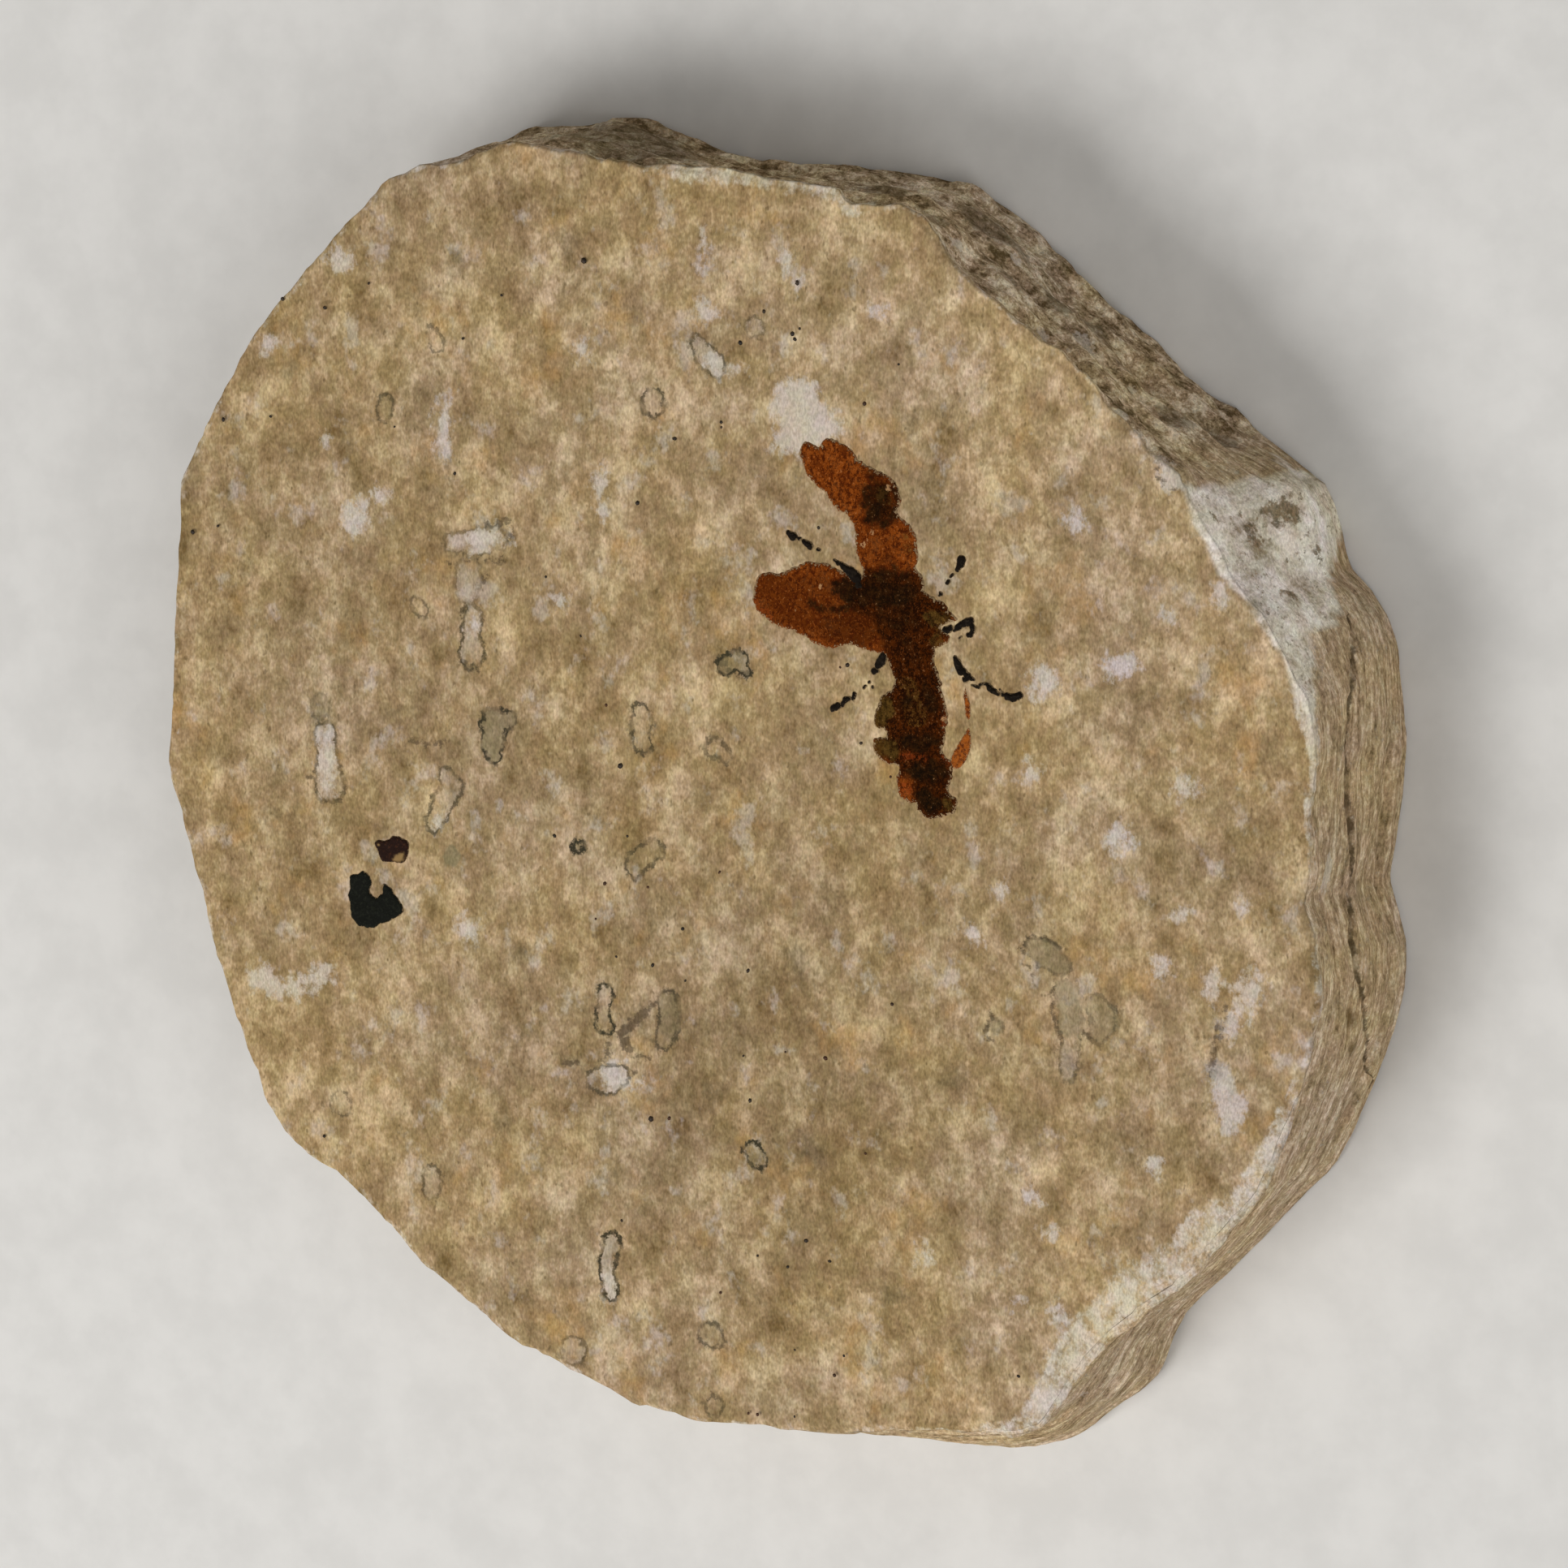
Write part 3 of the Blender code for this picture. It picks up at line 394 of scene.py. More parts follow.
PLANT_SCRAP = [
    (-16.6, -4.05), (-16.5, -3.95), (-16.25, -3.9), (-16.05, -3.75), (-15.8, -3.85), (-15.65, -4.05),
    (-15.6, -4.3), (-15.7, -4.55), (-15.6, -4.7), (-15.4, -4.8), (-15.25, -4.7), (-15.1, -4.55),
    (-15.1, -4.3), (-15.05, -4.2), (-14.9, -4.25), (-14.7, -4.35), (-14.6, -4.55), (-14.4, -4.7),
    (-14.3, -4.9), (-14.15, -5.15), (-14.25, -5.35), (-14.5, -5.5), (-14.75, -5.65), (-15.0, -5.75),
    (-15.3, -5.85), (-15.5, -6.0), (-15.75, -6.0), (-15.95, -6.0), (-16.25, -5.95), (-16.4, -5.75),
    (-16.55, -5.6), (-16.6, -5.3), (-16.6, -5.05), (-16.7, -4.8), (-16.6, -4.55), (-16.6, -4.3),
]
BROWN_SCRAP = [
    (-15.45, -2.6), (-15.3, -2.5), (-15.05, -2.5), (-14.75, -2.4), (-14.6, -2.3), (-14.35, -2.3),
    (-14.05, -2.4), (-13.9, -2.55), (-13.9, -2.8), (-13.95, -3.05), (-14.05, -3.25), (-14.25, -3.35),
    (-14.6, -3.3), (-14.85, -3.35), (-15.1, -3.3), (-15.25, -3.05), (-15.4, -2.8),
]
BROWN_SCRAP_PALE = [
    ("left spot", 0.9, [(-15.22, -2.66, 0.06)]),
    ("right crescent", 0.8, [(-14.62, -3.22, 0.03), (-14.3, -3.16, 0.06), (-14.1, -2.95, 0.05)]),
]


def srgb(red, green, blue):
    """Linear colour of a display colour given as three numbers up to 255."""
    return tuple((value / 255.0 / 12.92) if value <= 10.3 else ((value / 255.0 + 0.055) / 1.055) ** 2.4
                 for value in (red, green, blue))


STONE_BELOW = srgb(162, 137, 102)


class FossilSlabSettings(PropertyGroup):
    """Sizes and colours of the shale slab."""

    columns: IntProperty(
        name="Columns", description="Mesh columns round the slab", default=468, min=48, max=720)
    side_rows: IntProperty(
        name="Side rows", description="Mesh rows up the broken side", default=60, min=8, max=90)
    face_step: FloatProperty(
        name="Face step", description="Width of one mesh ring on the face", default=0.215 * MM, unit="LENGTH")
    lamina: FloatProperty(
        name="Lamina", description="Thickness of one bed of the shale", default=0.42 * MM, unit="LENGTH")
    lamina_relief: FloatProperty(
        name="Lamina relief", description="How far beds stand in and out", default=0.09 * MM, unit="LENGTH")
    face_relief: FloatProperty(
        name="Face relief", description="Height of the face's small unevenness", default=0.035 * MM,
        unit="LENGTH")
    tan: FloatVectorProperty(
        name="Tan", description="Colour of the shale", default=srgb(162, 137, 101), subtype="COLOR", max=1.0)
    peach: FloatVectorProperty(
        name="Peach", description="Lightest mottle", default=srgb(216, 191, 155), subtype="COLOR", max=1.0)
    umber: FloatVectorProperty(
        name="Umber", description="Darkest mottle", default=srgb(114, 91, 56), subtype="COLOR", max=1.0)
    ochre: FloatVectorProperty(
        name="Ochre", description="Rusty yellow stain", default=srgb(184, 142, 84), subtype="COLOR", max=1.0)
    chalk: FloatVectorProperty(
        name="Chalk", description="Chalky patches", default=srgb(201, 189, 177), subtype="COLOR", max=1.0)
    soot: FloatVectorProperty(
        name="Soot", description="Dark grey smudges", default=srgb(72, 66, 48), subtype="COLOR", max=1.0)


class FossilFilmSettings(PropertyGroup):
    """Sizes and colours of the dark films on the face."""

    spacing: FloatProperty(
        name="Spacing", description="Distance between mesh points", default=0.085 * MM, unit="LENGTH")
    thickness: FloatProperty(
        name="Thickness", description="How far the fly's film stands above the stone", default=0.050 * MM,
        unit="LENGTH")
    orange: FloatVectorProperty(
        name="Orange", description="Orange of the wings", default=srgb(136, 66, 16), subtype="COLOR", max=1.0)
    rust: FloatVectorProperty(
        name="Rust", description="Rust between the grains", default=srgb(66, 23, 3), subtype="COLOR", max=1.0)
    brown: FloatVectorProperty(
        name="Brown", description="Dark brown of the body", default=srgb(68, 28, 2), subtype="COLOR", max=1.0)
    black: FloatVectorProperty(
        name="Black", description="Near black of the legs", default=srgb(17, 10, 4), subtype="COLOR", max=1.0)


class FossilStageSettings(PropertyGroup):
    """Floor, light and camera."""

    floor_size: FloatProperty(
        name="Floor", description="Width of the floor", default=1.6, unit="LENGTH")
    camera_distance: FloatProperty(
        name="Camera distance", description="From face to camera", default=230.0 * MM, unit="LENGTH")
    field_width: FloatProperty(
        name="Field", description="Width of the picture at the face", default=59.04 * MM, unit="LENGTH")
    lean_right: FloatProperty(
        name="Lean right", description="How far the camera leans to the right of straight down",
        default=math.radians(27.3), subtype="ANGLE")
    lean_up: FloatProperty(
        name="Lean up", description="How far the camera leans towards the top edge",
        default=math.radians(7.9), subtype="ANGLE")
    key_power: FloatProperty(
        name="Key light", description="Power of the main light", default=2.7, unit="POWER")
    fill_power: FloatProperty(
        name="Fill light", description="Power of the soft light", default=1.25, unit="POWER")


# Numbers that vary over a surface

def smooth_step(low, high, value):
    """0 below low, 1 above high, and a soft rise between them."""
    share = np.clip((value - low) / (high - low), 0.0, 1.0)
    return share * share * (3.0 - 2.0 * share)


def lattice(ix, iy, iz, seed):
    """A number from 0 to 1 for each corner of a lattice of cubes."""
    mixed = ix * np.uint32(374761393) + iy * np.uint32(668265263) + iz * np.uint32(2246822519)
    mixed = mixed + np.uint32(seed * 3266489917 & 0xFFFFFFFF)
    mixed = (mixed ^ (mixed >> np.uint32(13))) * np.uint32(1274126177)
    mixed = mixed ^ (mixed >> np.uint32(16))
    return mixed.astype(np.float64) / 0xFFFFFFFF


def soft_noise(x, y, z, seed=0):
    """Smooth noise from -1 to 1 with features one unit wide."""
    x, y, z = np.broadcast_arrays(x, y, z)
    corner = [np.floor(value).astype(np.int64) for value in (x, y, z)]
    share = [value - base for value, base in zip((x, y, z), corner)]
    share = [value * value * (3.0 - 2.0 * value) for value in share]
    total = np.zeros(x.shape)
    for step_x in (0, 1):
        for step_y in (0, 1):
            for step_z in (0, 1):
                weight = np.ones(x.shape)
                for value, step in zip(share, (step_x, step_y, step_z)):
                    weight = weight * (value if step else 1.0 - value)
                place = [(base + step).astype(np.uint32)
                         for base, step in zip(corner, (step_x, step_y, step_z))]
                total += weight * lattice(*place, seed)
    return 2.0 * total - 1.0


def rough_noise(x, y, z, octaves, seed=0):
    """Noise with finer and finer detail, about -1 to 1."""
    total, weight, size = 0.0, 0.0, 1.0
    for octave in range(octaves):
        total = total + soft_noise(x / size, y / size, z / size, seed + octave) * size
        weight += size
        size *= 0.5
    return total / weight


def chain_distance(x, y, chain):
    """Distance from points to a chain of discs that are joined by straight tapers, negative inside."""
    nearest = np.full(np.shape(x), 1e3)
    for (x0, y0, r0), (x1, y1, r1) in zip(chain, chain[1:] or chain):
        length = (x1 - x0) ** 2 + (y1 - y0) ** 2
        along = np.zeros(np.shape(x))
        if length > 0.0:
            along = np.clip(((x - x0) * (x1 - x0) + (y - y0) * (y1 - y0)) / length, 0.0, 1.0)
        away = np.hypot(x - x0 - along * (x1 - x0), y - y0 - along * (y1 - y0)) - (r0 + (r1 - r0) * along)
        nearest = np.minimum(nearest, away)
    return nearest


def nearest_chain(x, y, chains):
    """Distance to the nearest of several chains."""
    return np.min([chain_distance(x, y, chain) for chain in chains], axis=0)


def signed_turn(angle_deg):
    """A direction as a number of degrees from -180 to 180."""
    return (angle_deg + 180.0) % 360.0 - 180.0


def between(angle_deg, start, end, blend=3.0):
    """1 inside a range of directions, fading to 0 outside it."""
    turn = signed_turn(angle_deg)
    begun = smooth_step(start - blend, start + blend, turn)
    return begun * (1.0 - smooth_step(end - blend, end + blend, turn))


def face_bumps(x, y):
    """Small unevenness of the fossil face in millimetres, the same for the stone and for the films on it."""
    relief = bpy.context.scene.fossil_slab.face_relief / MM
    broad = soft_noise(x * 0.55 + 3.1, y * 0.42, 0.0, 11)
    fine = rough_noise(x * 1.9, y * 1.3, 0.0, 2, 17)
    return relief * (0.9 * broad + 0.7 * fine) - 0.6 * relief


# The frame's slab, read by rays

def slab_tree():
    """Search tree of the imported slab."""
    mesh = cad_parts["matrix_slab"].data
    corners = [vertex.co.copy() for vertex in mesh.vertices]
    faces = [tuple(face.vertices) for face in mesh.polygons]
    return bvhtree.BVHTree.FromPolygons(corners, faces)


def side_radii(tree, angles, heights):
    """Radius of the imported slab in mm, for rows of heights and columns of angles."""
    reach = 60.0
    radii = np.zeros((len(heights), len(angles)))
    for column, angle in enumerate(angles):
        outward = Vector((math.cos(angle), math.sin(angle), 0.0))
        for row, height in enumerate(heights):
            start = outward * reach * MM + Vector((0.0, 0.0, height * MM))
            distance = tree.ray_cast(start, -outward)[3]
            if distance is None:
                raise RuntimeError("the packed slab has no side at %.2f mm" % height)
            radii[row, column] = reach - distance / MM
    return radii


def face_heights(tree, x, y):
    """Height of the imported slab's face in mm at points inside its rim."""
    start_height = 20.0
    heights = np.zeros(x.shape)
    for index in np.ndindex(x.shape):
        start = Vector((x[index], y[index], start_height)) * MM
        distance = tree.ray_cast(start, Vector((0.0, 0.0, -1.0)))[3]
        if distance is None:
            raise RuntimeError("the packed slab has no face at %.2f, %.2f mm" % (x[index], y[index]))
        heights[index] = start_height - distance / MM
    return heights


# Meshes

def new_piece(name, points_mm, faces, values, material):
    """A smooth mesh object from points in mm, with one number per point for each named attribute."""
    mesh = bpy.data.meshes.new(name)
    mesh.from_pydata((np.asarray(points_mm) * MM).tolist(), [], faces)
    for key, numbers in values.items():
        attribute = mesh.attributes.new(key, "FLOAT", "POINT")
        attribute.data.foreach_set("value", np.asarray(numbers, dtype=np.float32).ravel())
    mesh.materials.append(material)
    mesh.shade_smooth()
    piece = bpy.data.objects.new(name, mesh)
    bpy.context.scene.collection.objects.link(piece)
    return piece


def finish_piece(piece, slot, *nodes):
    """Tie a finished piece to the frame."""
    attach(piece, BODY)
    if nodes:
        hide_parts(*nodes)


def heal_parting(radii, heights):
    """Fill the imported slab's straight seams, so that the crack can be cut where it wanders."""
    for seam_low, seam_high in PACKED_SEAMS:
        low = int(np.searchsorted(heights, seam_low))
        high = int(np.searchsorted(heights, seam_high))
        for row in range(low + 1, high):
            share = (heights[row] - heights[low]) / (heights[high] - heights[low])
            radii[row] = radii[low] + (radii[high] - radii[low]) * share
    return radii


def crack_offset(angles_deg, heights):
    """Height above or below the open parting on the right side, as a share of its half width."""
    turn = signed_turn(angles_deg)
    middle = np.interp(turn, *zip(*CRACK_PATH)) + 0.07 * soft_noise(turn * 0.9, 0.0, 0.0, 5)
    width = 0.080 + 0.035 * soft_noise(turn * 0.45, 4.0, 0.0, 7)
    reach = between(angles_deg, CRACK_PATH[0][0], CRACK_PATH[-1][0], 2.5)
    return (heights - middle) / (width * np.maximum(reach, 0.01))


def chip_cover(angles_deg, heights, x, y):
    """How far the fresh white facet covers the broken side, 0 to 1."""
    above = SLAB_TOP + 1.0
    lower = np.interp(signed_turn(angles_deg), *zip(*CHIP_LOWER_EDGE), left=above, right=above)
    ragged = 0.5 * rough_noise(x * 0.9, y * 0.9, heights * 1.4, 3, 23)
    facet = smooth_step(-0.18, 0.18, heights - lower + ragged)
    return np.maximum(facet, side_stain(angles_deg, np.hypot(x, y), heights, CHIP_SPUR))


def rugged_cover(angles_deg):
    """1 on the rugged upper side, with a sharp start at the fresh break and a long fade behind."""
    turn = signed_turn(angles_deg)
    start, end = RUGGED_SIDE
    return smooth_step(start - 4.0, start + 4.0, turn) * (1.0 - smooth_step(end - 12.0, end + 16.0, turn))


def side_stain(angles_deg, radii, heights, stains):
    """Patches on the broken side, 0 to 1."""
    cover = np.zeros(np.broadcast(angles_deg, heights).shape)
    for angle, height, radius_across, radius_up in stains:
        across = np.radians(angles_deg - angle) * radii / radius_across
        away = np.hypot(across, (heights - height) / radius_up)
        cover = np.maximum(cover, 1.0 - smooth_step(0.5, 1.4, away))
    return cover


def broad_shade(x, y):
    """Broad lighter and darker parts of the face, about -0.5 to 0.5."""
    return sum(amount * np.exp(-((np.hypot(x - place_x, y - place_y) / radius) ** 2))
               for place_x, place_y, radius, amount in SHADES)


def side_relief(x, y, heights, fresh, rugged, settings):
    """In and out of the broken side in mm: stepped beds, rugged towards the top, or a lumpy fresh break."""
    thickness = settings.lamina / MM
    warp = 0.8 * soft_noise(x * 0.09, y * 0.09, heights * 0.25, 31)
    layer = heights / thickness + warp
    index = np.floor(layer)
    share = layer - index
    step = soft_noise(x * 0.20 + 9.7 * index, y * 0.20 - 4.1 * index, index * 0.37, 37)
    chips = soft_noise(x * 0.9 + 5.3 * index, y * 0.9, index * 0.71, 41)
    seam = np.exp(-((np.minimum(share, 1.0 - share) / 0.14) ** 2))
    layered = settings.lamina_relief / MM * (0.6 * step + 0.6 * chips - 0.35 * seam)
    bulge = 0.12 * soft_noise(x * 0.24, y * 0.24, heights * 0.30, 43)
    grain = 0.045 * rough_noise(x * 2.6, y * 2.6, heights * 4.0, 2, 47)
    lumpy = 0.15 * rough_noise(x * 0.7, y * 0.7, heights * 0.8, 4, 53)
    blocks = 0.22 * np.tanh(3.0 * rough_noise(x * 0.55, y * 0.55, heights * 1.2, 3, 59))
    nicks = 0.16 * rough_noise(x * 1.3, y * 1.3, heights * 0.5, 3, 61) * smooth_step(5.4, 6.4, heights)
    relief = bulge + grain + nicks + layered * (1.0 - fresh) + lumpy * fresh
    return relief + blocks * rugged * (1.0 - fresh) - 0.07


def side_heights(rows):
    """Heights of the mesh rows up the side in mm, closer together where the crack runs."""
    height = np.linspace(0.0, 1.0, 400) * RIM_HEIGHT
    density = 1.0 + 0.7 * np.exp(-(((height - 3.6) / 1.0) ** 2))
    progress = np.cumsum(density) - density[0]
    even = np.linspace(0.0, progress[-1], rows)
    return np.maximum(np.interp(even, progress, height), 0.02)


def build_side(tree, angles, across, settings):
    """Radius and height of each mesh point of the broken side, from the rear up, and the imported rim."""
    angles_deg = np.degrees(angles)
    heights = side_heights(settings.side_rows)
    radii = heal_parting(side_radii(tree, angles, heights), heights)
    packed_rim = radii[-1]
    level = np.broadcast_to(heights[:, None], radii.shape)
    x, y = radii * across[0], radii * across[1]
    fresh = chip_cover(angles_deg, level, x, y)
    relief = side_relief(x, y, level, fresh, rugged_cover(angles_deg)[None, :], settings)
    radii = radii + relief * (0.35 + 0.65 * smooth_step(0.0, 0.5, level))
    radii = radii - CRACK_DEPTH * (1.0 - smooth_step(0.3, 2.0, np.abs(crack_offset(angles_deg, level))))
    radii = radii - PIT_DEPTH * side_stain(angles_deg, radii, level, SIDE_STAINS)
    return radii, level, packed_rim


def build_rear(outer, across):
    """Points of the rear: a plain split face with a little relief that never goes below the floor."""
    shares = np.array(REAR_RINGS)[:, None]
    radii = shares * outer[None, :]
    x, y = radii * across[0], radii * across[1]
    steps = soft_noise(x * 0.16, y * 0.16, 0.0, 61)
    z = 0.06 + 0.05 * np.tanh(6.0 * steps) + 0.03 * rough_noise(x * 0.8, y * 0.8, 0.0, 3, 67)
    return x, y, np.clip(z, 0.0, 0.2) * smooth_step(1.0, 0.9, shares)


def build_face(tree, top, packed_rim, angles_deg, across, settings):
    """Points of the face, in rings from the rim to the middle."""
    rim_steps = np.array(RIM_RINGS)
    inner = top - rim_steps[-1]
    rings = int(round(FACE_REACH / (settings.face_step / MM)))
    shares = np.linspace(1.0, 0.0, rings + 1)[1:-1]
    radii = np.vstack([top[None, :] - rim_steps[:, None], shares[:, None] * inner[None, :]])
    x, y = radii * across[0], radii * across[1]
    sampled = np.minimum(radii, packed_rim[None, :] - 0.04)
    z = face_heights(tree, sampled * across[0], sampled * across[1]) + face_bumps(x, y)
    inside = top[None, :] - radii
    worn = between(angles_deg, WORN_FROM, WORN_TO)[None, :]
    nibble = np.clip(rough_noise(x * 1.1, y * 1.1, 0.0, 3, 71), -0.2, 1.0)
    z = z - (0.10 + 0.10 * worn) * nibble * (1.0 - smooth_step(0.0, 0.7, inside))
    # the outermost rings round over into the side
    return x, y, np.minimum(z, RIM_HEIGHT + 0.02 + 0.75 * np.sqrt(np.clip(inside, 0.0, None)))


def slab_values(points, is_face, is_rear, rim):
    """Numbers at the slab's points that its material reads; rim is the distance inside the rim."""
    x, y, z = points.T
    turn, reach = np.degrees(np.arctan2(y, x)), np.hypot(x, y)
    on_side = is_face + is_rear < 0.5
    marks = np.array([chain_distance(x, y, chain) for *_, chain in MARKS])
    nearest = np.argmin(marks, axis=0)
    tone = side_stain(turn, reach, z, PALE_SIDE) - side_stain(turn, reach, z, DARK_SIDE)
    return {
        "is_face": is_face,
        "is_rear": is_rear,
        "mark": np.clip(np.min(marks, axis=0), -1.0, 1.0),
        "mark_line": np.array([entry[1] for entry in MARKS])[nearest],
        "mark_fill": np.array([entry[2] for entry in MARKS])[nearest],
        "white": np.clip(nearest_chain(x, y, WHITE_PATCHES), -1.0, 2.0),
        "smudge": np.clip(nearest_chain(x, y, DARK_SMUDGES_AND_SHADE), -1.0, 2.0),
        "stroke": np.clip(nearest_chain(x, y, DARK_STROKES), -1.0, 2.0),
        "shade": broad_shade(x, y) * is_face,
        "fresh": np.where(is_face > 0.5, chip_rim(turn, rim, x, y), chip_cover(turn, z, x, y) * on_side),
        "stain": side_stain(turn, reach, z, CHIP_STAINS) * on_side,
        "pit": side_stain(turn, reach, z, SIDE_STAINS) * on_side,
        "tone": tone * on_side,
        "rugged": rugged_cover(turn) * on_side,
        # painted shade in the open parting; the lower lip of the parting is what the eye sees of it
        "crack": np.where(on_side, crack_offset(turn, z + 0.05), FAR_FROM_CRACK),
        # bruised, powdery rim with a painted edge highlight
        "powder": powder_and_highlight_rim(turn, rim, z, is_face),
    }


def build_slab(settings):
    """The stone: broken sides with thin layers, a worn rim, a nearly flat face and a split rear."""
    tree = slab_tree()
    angles = np.linspace(0.0, 2.0 * math.pi, settings.columns, endpoint=False)
    angles_deg = np.degrees(angles)
    across = np.array([np.cos(angles), np.sin(angles)])
    radii, level, packed_rim = build_side(tree, angles, across, settings)
    top = radii[-1]
    rear = build_rear(radii[0], across)
    side = (radii * across[0], radii * across[1], level)
    face = build_face(tree, top, packed_rim, angles_deg, across, settings)
    rings = np.stack([np.vstack(parts) for parts in zip(rear, side, face)], axis=-1)

    # one more point in the middle of the rear and of the face
    middle = np.zeros(1)
    face_middle = face_heights(tree, middle, middle)[0] + face_bumps(middle, middle)[0]
    points = np.vstack([rings.reshape(-1, 3), [[0.0, 0.0, REAR_MIDDLE], [0.0, 0.0, face_middle]]])
    low_corner, high_corner = (np.array(corner) / MM for corner in CAD_BOX)
    points = np.clip(points, low_corner, high_corner)
    low_index, high_index = len(points) - 2, len(points) - 1

    grid = np.arange(rings.shape[0] * rings.shape[1]).reshape(rings.shape[:2])
    following = np.roll(grid, -1, axis=1)
    quads = np.stack([grid[:-1], following[:-1], following[1:], grid[1:]], axis=-1).reshape(-1, 4).tolist()
    fans = [(int(b), int(a), low_index) for a, b in zip(grid[0], following[0])]
    fans += [(int(a), int(b), high_index) for a, b in zip(grid[-1], following[-1])]

    is_face, is_rear = np.zeros(len(points)), np.zeros(len(points))
    is_face[grid[len(rear[0]) + len(level), 0]:low_index] = 1.0
    is_face[high_index] = 1.0
    is_rear[:grid[len(rear[0]), 0]] = 1.0
    is_rear[low_index] = 1.0
    x, y = points[:, 0], points[:, 1]
    rim_radius = np.interp(np.degrees(np.arctan2(y, x)) % 360.0, angles_deg, top, period=360.0)
    values = slab_values(points, is_face, is_rear, rim_radius - np.hypot(x, y))
    return new_piece("shale_slab", points, quads + fans, values, shale_material(settings))


def chip_rim(turn, rim, x, y):
    """A white sliver of the fresh break that bites a little into the face."""
    ragged = 0.25 * rough_noise(x * 1.5, y * 1.5, 0.0, 3, 73)
    return between(turn, CHIP_FROM, CHIP_TO, 2.0) * (1.0 - smooth_step(0.10, 0.32, rim + ragged))


def powder_and_highlight_rim(turn, rim, height, is_face):
    """Bruised, powdery stone along the rim with a painted edge highlight, 0 to 1."""
    strong = between(turn, WORN_FROM + 2.0, WORN_TO, 4.0)
    top = between(turn, 74.0, 97.0, 3.0)
    right = between(turn, 1.0, 14.0, 3.0)
    width = 0.18 + 0.80 * strong + 0.40 * top + 0.30 * right
    width = width * (1.0 + 0.7 * soft_noise(turn * 0.16, 2.0, 0.0, 79))
    amount = 0.38 + 0.28 * np.maximum(np.maximum(strong, right), 0.8 * top)
    on_face = 1.0 - smooth_step(0.6 * width, 1.3 * width + 0.05, rim)
    on_side = smooth_step(6.3, 6.7, height)
    return amount * np.where(is_face > 0.5, on_face, on_side)


def resample_outline(outline, spacing, wobble, seed):
    """A closed smooth curve through an outline, with small irregular teeth."""
    corners = np.array(outline)
    before, after, later = (np.roll(corners, shift, axis=0) for shift in (1, -1, -2))
    points = []
    for p0, p1, p2, p3 in zip(before, corners, after, later):
        steps = max(int(round(np.linalg.norm(p2 - p1) / spacing)), 1)
        for share in np.arange(steps) / steps:
            bend = (2.0 * p0 - 5.0 * p1 + 4.0 * p2 - p3) * share ** 2
            twist = (3.0 * p1 - p0 - 3.0 * p2 + p3) * share ** 3
            points.append(0.5 * (2.0 * p1 + (p2 - p0) * share + bend + twist))
    points = np.array(points)
    along = np.roll(points, -1, axis=0) - np.roll(points, 1, axis=0)
    along /= np.linalg.norm(along, axis=1)[:, None] + 1e-9
    outward = np.stack([-along[:, 1], along[:, 0]], axis=-1)
    teeth = 0.6 * soft_noise(points[:, 0] * 4.5, points[:, 1] * 4.5, 0.0, seed)
    teeth += 0.7 * soft_noise(points[:, 0] * 9.0, points[:, 1] * 9.0, 0.0, seed + 1)
    return points + outward * (wobble * teeth)[:, None]


def chain_outline(chain, cap_steps=6):
    """Outline round a chain of discs, with round ends, clockwise."""
    places = [Vector(disc[:2]) for disc in chain]
    if len(places) == 1:
        radius = chain[0][2]
        turns = [-2.0 * math.pi * step / (2 * cap_steps) for step in range(2 * cap_steps)]
        return [(places[0].x + radius * math.cos(turn), places[0].y + radius * math.sin(turn))
                for turn in turns]
    left, right = [], []
    for index, place in enumerate(places):
        along = (places[min(index + 1, len(places) - 1)] - places[max(index - 1, 0)]).normalized()
        across = Vector((-along.y, along.x)) * chain[index][2]
        left.append(tuple(place + across))
        right.append(tuple(place - across))

    def cap(place, along, radius):
        start = math.atan2(along.x, -along.y)
        turns = [start - math.pi * step / cap_steps for step in range(1, cap_steps)]
        return [(place.x + radius * math.cos(turn), place.y + radius * math.sin(turn)) for turn in turns]

    front = (places[-1] - places[-2]).normalized()
    back = (places[0] - places[1]).normalized()
    return left + cap(places[-1], front, chain[-1][2]) + right[::-1] + cap(places[0], back, chain[0][2])


def inside_outline(x, y, outline):
    """True for points inside a closed outline."""
    inside = np.zeros(x.shape, dtype=bool)
    for (x0, y0), (x1, y1) in zip(outline, np.roll(outline, -1, axis=0)):
        crosses = (y0 > y) != (y1 > y)
        reach = x0 + (y - y0) * (x1 - x0) / (y1 - y0 if y1 != y0 else 1e-12)
        inside ^= crosses & (x < reach)
    return inside


def outline_distance(x, y, outline):
    """Distance from points to the nearest edge of a closed outline."""
    nearest = np.full(x.shape, 1e3)
    for (x0, y0), (x1, y1) in zip(outline, np.roll(outline, -1, axis=0)):
        length = max((x1 - x0) ** 2 + (y1 - y0) ** 2, 1e-12)
        along = np.clip(((x - x0) * (x1 - x0) + (y - y0) * (y1 - y0)) / length, 0.0, 1.0)
        nearest = np.minimum(nearest, np.hypot(x - x0 - along * (x1 - x0), y - y0 - along * (y1 - y0)))
    return nearest


